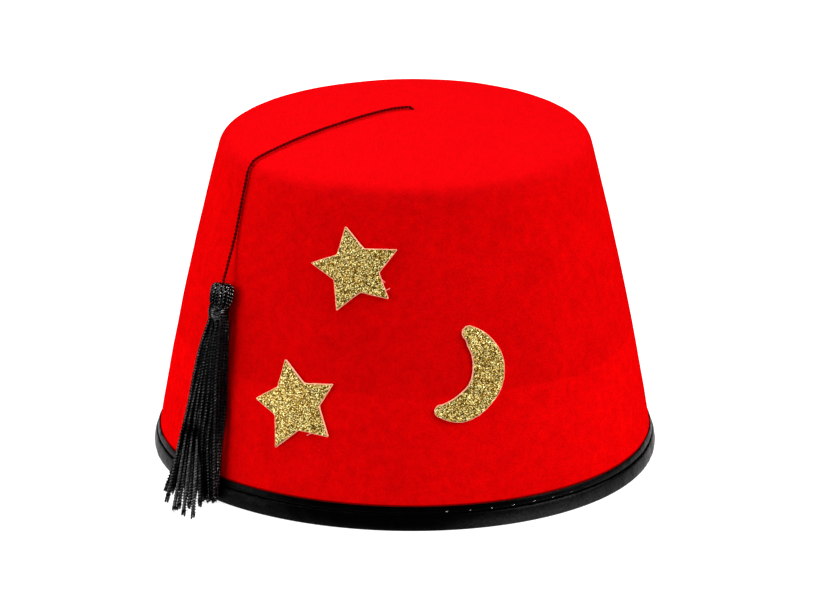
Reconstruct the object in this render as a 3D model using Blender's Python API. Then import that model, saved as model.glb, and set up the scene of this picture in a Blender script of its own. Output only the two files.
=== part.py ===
"""Fez hat: a felt crown with a bound lower edge, a cord, a tassel and three glued-on ornaments.

Units are metres. +Z is up and the front faces -Y. The origin is the middle of the footprint, on
the surface that the hat stands on. The crown is worked out as a body of revolution and then
carried over to its true plan, which has a faint threefold unevenness, and to its slightly tilted top.
"""

import math
from collections import namedtuple

import bmesh
import bpy
from mathutils import Matrix, Vector

MM = 0.001
GAP = 0.3 * MM  # clearance between neighbouring pieces

# Felt crown.
BASE_RADIUS = 97.2 * MM  # outside of the felt, carried down to the surface
TOP_RADIUS = 70.5 * MM  # where the lines of the side and the top meet
CROWN_HEIGHT = 125.9 * MM  # height of that meeting line
SIDE_BULGE = 1.7 * MM  # swell of the side at half height
TOP_DOME = 8.8 * MM  # rise of the top's middle over the meeting line
SHOULDER_REACH = 3.9 * MM  # height of the side, and width of the top, in the rounded shoulder
FELT = 2.0 * MM
LOBE_COSINE = -0.0066  # threefold unevenness of the plan, as shares of the radius
LOBE_SINE = -0.0095
TOP_TILT = 0.0062  # rise of the shoulder for each metre towards +X
ROUND_STEPS = 72  # facets around the crown and the binding

# Cord and the hole that it comes out of.
CORD_DIAMETER = 1.3 * MM
CORD_RADIUS = CORD_DIAMETER / 2.0
CORD_SPACING = 2.1 * CORD_DIAMETER
HOLE_X = 2.3 * MM
HOLE_Y = 0.2 * MM
HOLE_RADIUS = CORD_RADIUS + 0.6 * MM  # leaves room for the cord's bend
HOLE_LEAN = math.radians(20.0)  # the hole leans over towards the tassel
HOLE_SHIFT = 0.12 * MM  # of the middle of the hole's mouth towards the tassel
ENTRY_BEARING = math.radians(-163.1)  # way in which the cord leaves the hole
CORD_LIFT = 0.95 * MM  # of the laid cord's middle over the felt
CORD_BEND = 2.7 * MM  # radius of the cord's bend into the hole
KNOT_RADIUS = 2.1 * MM
KNOT_HALF_HEIGHT = 1.7 * MM

# Satin binding.
TAPE = 1.0 * MM
BINDING_HEIGHT = 9.4 * MM
INNER_LEG_HEIGHT = 8.8 * MM
INNER_LEG_GAP = FELT + GAP + 0.05 * MM  # measured level, across the leaning felt

# Tassel.
TASSEL_BEARING = math.radians(-142.6)
HEAD_RADIUS = 4.35 * MM
HEAD_TOP_HEIGHT = 81.6 * MM
HEAD_LIFT = HEAD_RADIUS + GAP
NECK_RADIUS = 3.0 * MM
NECK_TOP = 8.3 * MM  # measured down from the head's top
NECK_END = 13.2 * MM
WRAP_TURNS = 4
WRAP_THREAD = 1.1 * MM
WRAP_OUTER_RADIUS = 4.1 * MM
FLOOR_CLEARANCE = 0.2 * MM

# Glitter sheet of the ornaments.
SHEET = 1.0 * MM

BindingFace = namedtuple("BindingFace", "height stand")
RoutePoint = namedtuple("RoutePoint", "run bearing lift")
SkirtSection = namedtuple("SkirtSection", "height width thickness lift lock_radius")
Lock = namedtuple("Lock", "across layer tip_x tip_y")
StarPoint = namedtuple("StarPoint", "tip_reach tip_clock notch_reach notch_clock")
CrescentSection = namedtuple("CrescentSection", "clock reach half_width")

# Outer face of the binding: how far it stands out from the felt, in mm, over its height.
BINDING_FACES = (
    BindingFace(0.0, -0.4),
    BindingFace(1.2, 0.75),
    BindingFace(2.9, 1.25),
    BindingFace(5.3, 1.3),
    BindingFace(6.4, 1.05),
    BindingFace(9.4, 1.0),
)

# The cord after it has come out of the hole: run along the crown's outline from the middle of the
# top in mm, bearing in degrees, and height of the cord's middle over the felt in mm.
CORD_ROUTE = (
    RoutePoint(5.0, -158.0, 0.95),
    RoutePoint(8.0, -154.5, 0.95),
    RoutePoint(12.0, -152.3, 0.95),
    RoutePoint(20.0, -149.3, 0.95),
    RoutePoint(29.0, -147.8, 0.95),
    RoutePoint(38.0, -147.3, 0.95),
    RoutePoint(47.0, -146.9, 0.95),
    RoutePoint(56.0, -146.3, 0.95),
    RoutePoint(64.0, -145.8, 0.95),
    RoutePoint(68.5, -145.3, 0.95),
    RoutePoint(71.0, -145.0, 0.95),
    RoutePoint(73.5, -144.9, 0.95),
    RoutePoint(77.0, -144.8, 0.95),
    RoutePoint(84.0, -144.8, 0.95),
    RoutePoint(91.0, -144.7, 0.95),
    RoutePoint(97.0, -144.5, 1.1),
    RoutePoint(102.0, -144.2, 1.7),
    RoutePoint(107.0, -143.7, 2.7),
    RoutePoint(111.5, -143.1, 3.7),
)

# The skirt of the tassel, top to bottom, in mm. The first two rows lie inside the neck.
SKIRT_SECTIONS = (
    SkirtSection(72.5, 4.6, 4.6, 4.65, 1.4),
    SkirtSection(69.0, 4.8, 4.8, 4.65, 1.4),
    SkirtSection(66.0, 8.4, 7.6, 4.5, 1.9),
    SkirtSection(57.0, 14.0, 7.8, 4.4, 2.2),
    SkirtSection(45.5, 18.2, 8.0, 4.4, 2.3),
    SkirtSection(34.0, 21.4, 8.2, 4.5, 2.4),
    SkirtSection(22.0, 23.0, 8.6, 4.8, 2.5),
    SkirtSection(13.0, 24.4, 9.0, 5.6, 2.5),
    SkirtSection(8.0, 25.4, 9.4, 6.6, 2.4),
)
LANDING_RADIUS = 2.1 * MM
TIP_RADIUS = 1.2 * MM
LANDING_SHARE = 0.4  # of the way from the last section to the tip

# The locks: place across the skirt (-1 left to 1 right), layer (-1 on the felt to 1 outside),
# and the place of the tip on the surface in mm.
LOCKS = (
    Lock(-1.0, -1.0, -90.8, -60.8),
    Lock(-0.5, -1.0, -88.8, -70.0),
    Lock(0.0, -1.0, -84.0, -77.5),
    Lock(0.45, -1.0, -78.8, -76.5),
    Lock(0.9, -1.0, -73.2, -72.4),
    Lock(-0.45, 1.0, -86.6, -79.0),
    Lock(0.0, 1.0, -82.8, -84.0),
    Lock(0.45, 1.0, -79.2, -85.6),
    Lock(0.85, 1.0, -75.8, -75.8),
)

# The two hand-cut stars: reach in mm and clock angle in degrees of each tip and the notch after it.
STAR_UPPER_CENTRE = (math.radians(-104.1), 95.8 * MM)
STAR_UPPER = (
    StarPoint(16.5, 344.0, 8.6, 20.0),
    StarPoint(17.7, 61.0, 9.2, 93.0),
    StarPoint(16.6, 127.0, 8.6, 163.0),
    StarPoint(17.0, 201.5, 9.0, 241.5),
    StarPoint(17.5, 274.0, 8.9, 305.5),
)
STAR_LOWER_CENTRE = (math.radians(-117.7), 43.8 * MM)
STAR_LOWER = (
    StarPoint(17.5, 341.5, 9.3, 19.0),
    StarPoint(17.8, 55.5, 10.0, 84.5),
    StarPoint(17.7, 124.5, 9.6, 164.0),
    StarPoint(18.7, 200.5, 9.4, 237.0),
    StarPoint(17.1, 269.0, 9.7, 306.5),
)

# The crescent: its spine around a centre, by clock angle in degrees, and half its width, in mm.
CRESCENT_CENTRE = (math.radians(-80.0), 60.0 * MM)
CRESCENT = (
    CrescentSection(34.0, 15.6, 3.1),
    CrescentSection(45.0, 15.4, 4.0),
    CrescentSection(60.0, 15.5, 4.8),
    CrescentSection(75.0, 15.7, 5.6),
    CrescentSection(90.0, 15.8, 6.1),
    CrescentSection(110.0, 15.9, 6.1),
    CrescentSection(130.0, 15.7, 5.7),
    CrescentSection(148.0, 15.7, 5.5),
    CrescentSection(165.0, 15.9, 4.9),
    CrescentSection(178.0, 15.7, 4.0),
    CrescentSection(190.0, 15.5, 2.9),
)
END_STEPS = 4  # facets of each rounded end of the crescent
SLICE_ACROSS = 5.5 * MM  # an ornament bends around the crown in facets of this width
SLICE_ALONG = 12.0 * MM


def clear_scene():
    """Remove every object that the file opens with."""
    for existing in list(bpy.data.objects):
        bpy.data.objects.remove(existing, do_unlink=True)


def make_material(name, color, roughness, metallic=0.0):
    """A plain shader in the piece's own colour."""
    material = bpy.data.materials.new(name)
    material.use_nodes = True
    shader = material.node_tree.nodes["Principled BSDF"]
    shader.inputs["Base Color"].default_value = (*color, 1.0)
    shader.inputs["Roughness"].default_value = roughness
    shader.inputs["Metallic"].default_value = metallic
    return material


def add_object(name, data, material):
    """Put finished mesh or curve data into the scene under its piece's name."""
    piece = bpy.data.objects.new(name, data)
    bpy.context.scene.collection.objects.link(piece)
    data.materials.clear()
    data.materials.append(material)
    return piece


def mesh_from(name, shape):
    """Turn a bmesh into mesh data with outward faces, smooth where the facets are shallow."""
    bmesh.ops.recalc_face_normals(shape, faces=shape.faces)
    mesh = bpy.data.meshes.new(name)
    shape.to_mesh(mesh)
    shape.free()
    mesh.shade_smooth()
    mesh.set_sharp_from_angle(angle=math.radians(40.0))
    return mesh


def spun(profile, steps):
    """A bmesh turned once around Z from a profile of (radius, height) points that ends on the axis
    or closes on itself."""
    shape = bmesh.new()
    verts = [shape.verts.new((radius, 0.0, height)) for radius, height in profile]
    edges = [shape.edges.new(pair) for pair in zip(verts, verts[1:])]
    if min(profile[0][0], profile[-1][0]) > 0.0:
        edges.append(shape.edges.new((verts[-1], verts[0])))
    bmesh.ops.spin(
        shape,
        geom=verts + edges,
        axis=(0.0, 0.0, 1.0),
        cent=(0.0, 0.0, 0.0),
        angle=2.0 * math.pi,
        steps=steps,
        use_merge=True,
    )
    bmesh.ops.remove_doubles(shape, verts=shape.verts, dist=0.01 * MM)
    return shape


def smooth_line(points, steps):
    """Points on a smooth curve through the given ones, with this many steps from one to the next."""
    padded = [2.0 * points[0] - points[1], *points, 2.0 * points[-1] - points[-2]]
    line = []
    for before, start, end, after in zip(padded, padded[1:], padded[2:], padded[3:]):
        for step in range(steps):
            t = step / steps
            line.append(
                0.5
                * (
                    2.0 * start
                    + (end - before) * t
                    + (2.0 * before - 5.0 * start + 4.0 * end - after) * t**2
                    + (3.0 * start - before - 3.0 * end + after) * t**3
                )
            )
    line.append(points[-1])
    return line


def evenly_spaced(line, spacing):
    """Points along a fine line at about this spacing, with both of its ends."""
    lengths = [(end - start).length for start, end in zip(line, line[1:])]
    count = round(sum(lengths) / spacing)
    wanted = [sum(lengths) * index / count for index in range(1, count)]
    spaced = [line[0]]
    walked = 0.0
    for start, end, length in zip(line, line[1:], lengths):
        while wanted and walked + length >= wanted[0]:
            spaced.append(start.lerp(end, (wanted.pop(0) - walked) / length))
        walked += length
    spaced.append(line[-1])
    return spaced


# --- The crown's form ---------------------------------------------------------------------------


def side_radius(height):
    """Outer radius of the round crown's side at a height."""
    share = height / CROWN_HEIGHT
    return BASE_RADIUS + (TOP_RADIUS - BASE_RADIUS) * share + SIDE_BULGE * 4.0 * share * (1.0 - share)


def side_lean(height):
    """Angle by which the side leans inwards at a height."""
    share = height / CROWN_HEIGHT
    slope = (BASE_RADIUS - TOP_RADIUS - SIDE_BULGE * 4.0 * (1.0 - 2.0 * share)) / CROWN_HEIGHT
    return math.atan(slope)


def top_height(radius):
    """Height of the domed top at a distance from its middle."""
    return CROWN_HEIGHT + TOP_DOME * (1.0 - (radius / TOP_RADIUS) ** 2)


def crown_outline(top_steps, shoulder_steps, side_steps, lower_edge):
    """Points (radius, height) of the round crown's outside, from the top's middle to the lower edge."""
    rim = TOP_RADIUS - SHOULDER_REACH
    brow = CROWN_HEIGHT - SHOULDER_REACH
    shoulder_start = Vector((rim, top_height(rim)))
    shoulder_end = Vector((side_radius(brow), brow))
    corner = Vector((TOP_RADIUS, CROWN_HEIGHT))
    outline = []
    for step in range(top_steps):
        radius = rim * step / top_steps
        outline.append(Vector((radius, top_height(radius))))
    for step in range(shoulder_steps):
        t = step / shoulder_steps
        outline.append(shoulder_start.lerp(corner, t).lerp(corner.lerp(shoulder_end, t), t))
    for step in range(side_steps + 1):
        height = brow + (lower_edge - brow) * step / side_steps
        outline.append(Vector((side_radius(height), height)))
    return outline


def outward(along):
    """Outward normal of an outline that runs this way, away from the top's middle."""
    return Vector((-along.y, along.x)).normalized()


def inset_outline(outline, depth):
    """The outline moved this deep into the felt, still ending on the axis and at its last height."""
    moved = [Vector((0.0, outline[0].y - depth))]
    for before, point, after in zip(outline, outline[1:], outline[2:]):
        moved.append(point - depth * outward(after - before))
    last = outline[-1]
    moved.append(Vector((last.x - depth / math.cos(side_lean(last.y)), last.y)))
    return moved


def plan_factor(bearing):
    """Share by which the uneven plan differs from a true circle at a bearing, as a factor."""
    return 1.0 + LOBE_COSINE * math.cos(3.0 * bearing) + LOBE_SINE * math.sin(3.0 * bearing)


def uneven(point):
    """A point of the round crown, carried to the uneven plan and the tilted top."""
    factor = plan_factor(math.atan2(point.y, point.x))
    x = point.x * factor
    y = point.y * factor
    share = min(max(point.z / CROWN_HEIGHT, 0.0), 1.0)
    return Vector((x, y, point.z + TOP_TILT * x * share**2))


def footprint_middle():
    """Middle of the box around the uneven plan of the binding, before it is put at the origin."""
    reach = max(side_radius(face.height * MM) + face.stand * MM for face in BINDING_FACES)
    turns = [2.0 * math.pi * step / ROUND_STEPS for step in range(ROUND_STEPS)]
    ring = [uneven(Vector((reach * math.cos(turn), reach * math.sin(turn), 0.0))) for turn in turns]
    x_values = [point.x for point in ring]
    y_values = [point.y for point in ring]
    return Vector((min(x_values) + max(x_values), min(y_values) + max(y_values), 0.0)) / 2.0


FOOTPRINT_MIDDLE = footprint_middle()
FINE_OUTLINE = crown_outline(60, 24, 120, 0.0)


def settled(point):
    """A point of the round crown, in its place on the finished hat."""
    return uneven(point) - FOOTPRINT_MIDDLE


def polar(radius, bearing, height):
    """A point at a radius, a bearing and a height."""
    return Vector((radius * math.cos(bearing), radius * math.sin(bearing), height))


def over_side(height, bearing, lift):
    """A point this far out from the felt's side, square to it, at a height and a bearing."""
    lean = side_lean(height)
    radius = side_radius(height) + lift * math.cos(lean)
    return settled(polar(radius, bearing, height + lift * math.sin(lean)))


def over_felt(run, bearing, lift):
    """A point this far over the felt, after a run along the outline from the top's middle."""
    left = run
    for start, end in zip(FINE_OUTLINE, FINE_OUTLINE[1:]):
        length = (end - start).length
        if left <= length:
            break
        left -= length
    along = (end - start).normalized()
    place = start + along * left + outward(along) * lift
    return settled(polar(place.x, bearing, place.y))


def over_hole(height, along):
    """A point at a height over the felt's outside, this far from the hole's mouth along the way in
    which the cord leaves it."""
    x = HOLE_X + along * math.cos(ENTRY_BEARING)
    y = HOLE_Y + along * math.sin(ENTRY_BEARING)
    return settled(Vector((x, y, top_height(math.hypot(x, y)) + height)))


def cord_bend(turn):
    """A point of the cord's bend into the hole, after a turn from lying flat to going down."""
    mouth_turn = math.acos(1.0 - CORD_LIFT / CORD_BEND)
    height = CORD_LIFT - CORD_BEND * (1.0 - math.cos(turn))
    return over_hole(height, CORD_BEND * (math.sin(mouth_turn) - math.sin(turn)))


# --- Crown and binding ----------------------------------------------------------------------------


def build_crown(material):
    """The felt shell: hollow, open below, with the cord's hole cut through its top."""
    lower_edge = TAPE + GAP
    outer = crown_outline(5, 4, 7, lower_edge)
    inner = inset_outline(crown_outline(4, 2, 5, lower_edge), FELT)
    profile = [(point.x, point.y) for point in outer + inner[::-1]]
    shape = spun(profile, ROUND_STEPS)
    for vert in shape.verts:
        vert.co = settled(vert.co)
    crown = add_object("crown", mesh_from("crown", shape), material)
    cut = crown.modifiers.new("cord_hole", "BOOLEAN")
    cut.operation = "DIFFERENCE"
    cut.solver = "EXACT"
    cut.object = hole_cutter()
    return crown


def hole_cutter():
    """The punch that cuts the cord's leaning hole."""
    shape = bmesh.new()
    axis = Vector((-math.sin(ENTRY_BEARING), math.cos(ENTRY_BEARING), 0.0))
    lean = Matrix.Rotation(HOLE_LEAN, 4, axis)
    middle = over_hole(-FELT / 2.0, HOLE_SHIFT - math.tan(HOLE_LEAN) * FELT / 2.0)
    bmesh.ops.create_cone(
        shape,
        cap_ends=True,
        segments=12,
        radius1=HOLE_RADIUS,
        radius2=HOLE_RADIUS,
        depth=4.0 * FELT,
        matrix=Matrix.Translation(middle) @ lean,
    )
    mesh = bpy.data.meshes.new("cord_hole_cutter")
    shape.to_mesh(mesh)
    shape.free()
    cutter = bpy.data.objects.new("cord_hole_cutter", mesh)
    bpy.context.scene.collection.objects.link(cutter)
    cutter.hide_render = True
    cutter.display_type = "WIRE"
    return cutter


def build_binding(material):
    """The tape folded over the felt's lower edge: outer leg, flat fold and inner leg."""
    outer = [(side_radius(face.height * MM) + face.stand * MM, face.height * MM) for face in BINDING_FACES]
    top = BINDING_HEIGHT
    inner_top = INNER_LEG_HEIGHT
    groove = [
        (side_radius(top) + GAP, top),
        (side_radius(TAPE) + GAP, TAPE),
        (side_radius(TAPE) - INNER_LEG_GAP, TAPE),
        (side_radius(inner_top) - INNER_LEG_GAP, inner_top),
    ]
    inner = [
        (side_radius(inner_top) - INNER_LEG_GAP - TAPE, inner_top),
        (side_radius(0.8 * TAPE) - INNER_LEG_GAP - TAPE, 0.8 * TAPE),
        (side_radius(0.0) - INNER_LEG_GAP - TAPE / 2.0, 0.0),
    ]
    shape = spun(outer + groove + inner, ROUND_STEPS)
    for vert in shape.verts:
        vert.co = settled(vert.co)
    return add_object("binding", mesh_from("binding", shape), material)


# --- Cord and knot --------------------------------------------------------------------------------


def tassel_down():
    """Direction in which the tassel hangs, down along the leaning side."""
    lean = side_lean(HEAD_TOP_HEIGHT - NECK_END / 2.0)
    return polar(math.sin(lean), TASSEL_BEARING, -math.cos(lean))


def tassel_place(down):
    """A point on the tassel's axis, this far down from the head's top."""
    return over_side(HEAD_TOP_HEIGHT, TASSEL_BEARING, HEAD_LIFT) + tassel_down() * down


def cord_points():
    """The cord's middle line: up through the hole, over the top, down the side, into the head."""
    bend = [cord_bend(math.radians(turn)) for turn in (90.0, 70.0, 50.0, 30.0, 12.0, 0.0)]
    rise = [Vector((bend[0].x, bend[0].y, over_hole(-FELT, 0.0).z))]
    laid = [over_felt(point.run * MM, math.radians(point.bearing), point.lift * MM) for point in CORD_ROUTE]
    end = [tassel_place(-2.0 * MM), tassel_place(-GAP)]
    return rise + bend[:-1] + evenly_spaced(smooth_line(bend[-1:] + laid + end, 8), CORD_SPACING)


def bevelled_curve(name, points, thickness, scales=None):
    """Curve data: a tube with filled ends along the points, scaled point by point if asked."""
    curve = bpy.data.curves.new(name, "CURVE")
    curve.dimensions = "3D"
    curve.bevel_depth = thickness
    curve.bevel_resolution = 2
    curve.use_fill_caps = True
    spline = curve.splines.new("POLY")
    spline.points.add(len(points) - 1)
    for index, point in enumerate(points):
        spline.points[index].co = (*point, 1.0)
        spline.points[index].radius = scales[index] if scales else 1.0
    return curve


def build_cord(material):
    """The thin cord that holds the tassel."""
    return add_object("cord", bevelled_curve("cord", cord_points(), CORD_RADIUS), material)


def build_knot(material):
    """The knot that stops the cord inside the crown, just under the hole."""
    shape = bmesh.new()
    bmesh.ops.create_uvsphere(shape, u_segments=12, v_segments=8, radius=KNOT_RADIUS)
    flatten = Matrix.Scale(KNOT_HALF_HEIGHT / KNOT_RADIUS, 4, (0.0, 0.0, 1.0))
    bmesh.ops.transform(shape, matrix=flatten, verts=shape.verts)
    place = cord_bend(math.pi / 2.0)
    place.z = over_hole(-FELT - GAP - KNOT_HALF_HEIGHT, 0.0).z
    bmesh.ops.translate(shape, verts=shape.verts, vec=place)
    return add_object("cord_knot", mesh_from("cord_knot", shape), material)


# --- Tassel ---------------------------------------------------------------------------------------


def hang_on_tassel(shape):
    """Move a shape from its own axis, downwards from zero, onto the tassel's axis."""
    turn = Vector((0.0, 0.0, -1.0)).rotation_difference(tassel_down())
    matrix = Matrix.Translation(tassel_place(0.0)) @ turn.to_matrix().to_4x4()
    bmesh.ops.transform(shape, matrix=matrix, verts=shape.verts)


def head_profile():
    """Points (radius, height) of the head and the neck, from the head's top down."""
    rounding = [(0.37, 0.0), (0.74, -0.5), (0.94, -1.5), (1.0, -3.0), (1.0, -6.6), (0.92, -7.8)]
    head = [(HEAD_RADIUS * share, height * MM) for share, height in rounding]
    return [(0.0, 0.0), *head, (NECK_RADIUS, -NECK_TOP), (NECK_RADIUS, -NECK_END), (0.0, -NECK_END)]


def lock_line(lock):
    """Middle line of one lock, from inside the neck to its tip on the surface, with its radii."""
    points = []
    radii = []
    for section in SKIRT_SECTIONS:
        side_room = (section.width / 2.0 - section.lock_radius) * MM
        layer_room = (section.thickness / 2.0 - section.lock_radius) * MM
        lift = section.lift * MM + lock.layer * layer_room
        shift = lock.across * side_room
        bearing = TASSEL_BEARING + shift / side_radius(section.height * MM)
        points.append(over_side(section.height * MM, bearing, lift))
        radii.append(section.lock_radius * MM)
    tip = Vector((lock.tip_x * MM, lock.tip_y * MM, TIP_RADIUS + FLOOR_CLEARANCE))
    landing = points[-1].lerp(tip, LANDING_SHARE)
    landing.z = LANDING_RADIUS + FLOOR_CLEARANCE
    return points + [landing, tip], radii + [LANDING_RADIUS, TIP_RADIUS]


def lock_mesh(name, lock):
    """One lock as a closed tapering tube."""
    points, radii = lock_line(lock)
    steps = 2
    line = smooth_line(points, steps)
    sizes = [vector.x for vector in smooth_line([Vector((radius, 0.0)) for radius in radii], steps)]
    scales = [size / TIP_RADIUS for size in sizes]
    holder = bpy.data.objects.new(name, bevelled_curve(name, line, TIP_RADIUS, scales))
    bpy.context.scene.collection.objects.link(holder)
    bpy.context.view_layer.update()
    tube = bpy.data.meshes.new_from_object(holder.evaluated_get(bpy.context.evaluated_depsgraph_get()))
    bpy.data.objects.remove(holder, do_unlink=True)
    shape = bmesh.new()
    shape.from_mesh(tube)
    bmesh.ops.remove_doubles(shape, verts=shape.verts, dist=0.01 * MM)
    return mesh_from(name, shape)


def build_tassel(material):
    """Head, neck and locks, fused into one body."""
    shape = spun(head_profile(), 16)
    hang_on_tassel(shape)
    tassel = add_object("tassel", mesh_from("tassel", shape), material)
    for number, lock in enumerate(LOCKS, start=1):
        name = f"tassel_lock_{number}"
        helper = add_object(name, lock_mesh(name, lock), material)
        helper.hide_render = True
        helper.display_type = "WIRE"
        fuse = tassel.modifiers.new(name, "BOOLEAN")
        fuse.operation = "UNION"
        fuse.solver = "EXACT"
        fuse.object = helper
    return tassel


def build_wrap(material):
    """The thread wound round the neck, as one ring with a ridge for each turn."""
    inner = NECK_RADIUS + GAP
    middle = (NECK_TOP + NECK_END) / 2.0
    top = -middle + WRAP_TURNS * WRAP_THREAD / 2.0
    valley = WRAP_OUTER_RADIUS - 0.25 * WRAP_THREAD
    profile = [(inner, top), (valley, top)]
    for turn in range(WRAP_TURNS):
        ridge = top - (turn + 0.5) * WRAP_THREAD
        profile += [(WRAP_OUTER_RADIUS, ridge), (valley, ridge - WRAP_THREAD / 2.0)]
    profile.append((inner, top - WRAP_TURNS * WRAP_THREAD))
    shape = spun(profile, 24)
    hang_on_tassel(shape)
    return add_object("tassel_wrap", mesh_from("tassel_wrap", shape), material)


# --- Ornaments ------------------------------------------------------------------------------------


def clock_point(reach, clock):
    """A flat point at a reach in mm and a clock angle in degrees, with 0 up and 90 to the right."""
    angle = math.radians(clock)
    return Vector((reach * math.sin(angle), reach * math.cos(angle))) * MM


def star_outline(star):
    """Corners of a star, tip and notch in turn."""
    outline = []
    for point in star:
        outline.append(clock_point(point.tip_reach, point.tip_clock))
        outline.append(clock_point(point.notch_reach, point.notch_clock))
    return outline


def crescent_outline():
    """Outline of the crescent: outer edge, rounded end, inner edge, rounded end."""
    outer = [clock_point(row.reach + row.half_width, row.clock) for row in CRESCENT]
    inner = [clock_point(row.reach - row.half_width, row.clock) for row in CRESCENT]
    last_end = rounded_end(CRESCENT[-1], CRESCENT[-1].clock)
    first_end = rounded_end(CRESCENT[0], CRESCENT[0].clock + 180.0)
    return outer + last_end + inner[::-1] + first_end


def rounded_end(row, first_clock):
    """Points of the half circle around a row's middle, clockwise from a clock angle."""
    middle = clock_point(row.reach, row.clock)
    swings = [180.0 * step / END_STEPS for step in range(1, END_STEPS)]
    return [middle + clock_point(row.half_width, first_clock + swing) for swing in swings]


def unrolled_to_side(flat, centre, lift):
    """Lay a flat point, given from the ornament's centre, onto the crown's conical side."""
    bearing, height = centre
    lean = side_lean(height)
    slant = side_radius(height) / math.sin(lean)
    from_apex = Vector((flat.x, slant - flat.y))
    turn = math.atan2(from_apex.x, from_apex.y) / math.sin(lean)
    fallen = (slant - from_apex.length) * math.cos(lean)
    return over_side(height + fallen, bearing + turn, lift)


def build_ornament(name, outline, centre, material):
    """A flat shape cut from the glitter sheet and bent onto the felt."""
    shape = bmesh.new()
    face = shape.faces.new([shape.verts.new((point.x, point.y, 0.0)) for point in outline])
    bmesh.ops.triangulate(shape, faces=[face])
    reach = max(point.length for point in outline)
    for normal, spacing in (((1.0, 0.0, 0.0), SLICE_ACROSS), ((0.0, 1.0, 0.0), SLICE_ALONG)):
        slices = math.ceil(reach / spacing)
        for index in range(-slices, slices + 1):
            bmesh.ops.bisect_plane(
                shape,
                geom=shape.verts[:] + shape.edges[:] + shape.faces[:],
                dist=0.01 * MM,
                plane_co=Vector(normal) * spacing * (index + 0.5),
                plane_no=normal,
            )
    raised = bmesh.ops.extrude_face_region(shape, geom=shape.faces[:])
    lifted = [item for item in raised["geom"] if isinstance(item, bmesh.types.BMVert)]
    bmesh.ops.translate(shape, verts=lifted, vec=(0.0, 0.0, SHEET))
    for vert in shape.verts:
        vert.co = unrolled_to_side(vert.co, centre, GAP + vert.co.z)
    return add_object(name, mesh_from(name, shape), material)


def main():
    """Build every piece of the hat."""
    clear_scene()
    felt = make_material("red_felt", (0.62, 0.002, 0.003), 0.95)
    satin = make_material("black_satin", (0.012, 0.012, 0.014), 0.35)
    thread = make_material("black_thread", (0.01, 0.01, 0.011), 0.55)
    glitter = make_material("gold_glitter", (0.50, 0.42, 0.14), 0.4, 0.8)
    build_crown(felt)
    build_binding(satin)
    build_cord(thread)
    build_knot(thread)
    build_tassel(thread)
    build_wrap(thread)
    build_ornament("star_upper", star_outline(STAR_UPPER), STAR_UPPER_CENTRE, glitter)
    build_ornament("star_lower", star_outline(STAR_LOWER), STAR_LOWER_CENTRE, glitter)
    build_ornament("crescent", crescent_outline(), CRESCENT_CENTRE, glitter)


main()
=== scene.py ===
"""Looks of the fez hat: felt crown, satin binding, cord, tassel and glued-on glitter ornaments.

Units are metres. +Z is up and the front faces -Y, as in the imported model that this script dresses.
"""

import logging
import math
from dataclasses import dataclass
from enum import Enum
from random import Random
from typing import Callable, NamedTuple

import bmesh
import bpy
from mathutils import Matrix, Vector, noise


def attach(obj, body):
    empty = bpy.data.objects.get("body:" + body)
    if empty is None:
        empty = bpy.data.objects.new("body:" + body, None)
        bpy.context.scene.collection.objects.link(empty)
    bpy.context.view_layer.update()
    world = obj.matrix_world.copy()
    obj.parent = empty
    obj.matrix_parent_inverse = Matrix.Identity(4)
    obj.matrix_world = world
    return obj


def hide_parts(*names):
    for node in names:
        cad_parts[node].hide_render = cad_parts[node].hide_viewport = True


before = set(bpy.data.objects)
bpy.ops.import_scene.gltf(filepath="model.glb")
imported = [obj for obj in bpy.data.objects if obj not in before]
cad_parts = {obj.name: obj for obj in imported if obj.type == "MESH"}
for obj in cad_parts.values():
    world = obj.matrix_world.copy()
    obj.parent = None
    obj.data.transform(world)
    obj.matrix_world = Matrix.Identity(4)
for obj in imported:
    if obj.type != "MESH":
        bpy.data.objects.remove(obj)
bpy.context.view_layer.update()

MM = 0.001
GAP = 0.3 * MM  # clearance between the felt and what lies on it
LOOSE_PITCH = 5.0 * MM  # twist of single fibres
LOG = logging.getLogger("fez_hat")

Piece = bpy.types.Object
Material = bpy.types.Material
Socket = bpy.types.NodeSocket
Shape = bmesh.types.BMesh
# For each thread, its points at an even spacing and its radius at each.
Threads = list[tuple[list[Vector], list[float]]]


class Slot(Enum):
    """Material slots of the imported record."""

    FELT = "felt"
    SATIN = "satin"
    THREAD = "thread"
    GLITTER = "glitter"


class Twist(Enum):
    """Cross-sections of a thread: how many plies are laid round each other."""

    SINGLE = 1
    TWO_PLY = 2
    THREE_PLY = 3


class RoutePoint(NamedTuple):
    """A point of the cord: run along the outline in mm, bearing in degrees, lift in mm."""

    run: float
    bearing: float
    lift: float


class SkirtSection(NamedTuple):
    """A level of the skirt in mm: its two edges from the front, its depth and its lift."""

    height: float
    left: float
    right: float
    thickness: float
    lift: float


class StrandEnd(NamedTuple):
    """A strand's column from the left, its layer from the outside, and its tip in mm."""

    column: int
    layer: int
    tip_x: float
    tip_y: float
    tip_z: float = 1.0


class StarPoint(NamedTuple):
    """Reach in mm and clock angle in degrees of a star's tip and of the notch after it."""

    tip_reach: float
    tip_clock: float
    notch_reach: float
    notch_clock: float


class CrescentSection(NamedTuple):
    """A point of the crescent's spine, by clock angle in degrees, and half its width, in mm."""

    clock: float
    reach: float
    half_width: float


class Tuft(NamedTuple):
    """A wisp of fibres at an ornament's cut edge: its root and its end, in mm from the centre."""

    x: float
    y: float
    to_x: float
    to_y: float


class StudioLight(NamedTuple):
    """A broad distant light: bearing and elevation in degrees, strength, and width in degrees."""

    name: str
    bearing: float
    elevation: float
    strength: float
    width: float


# --- Mesh helpers ---------------------------------------------------------------------------------


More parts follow.
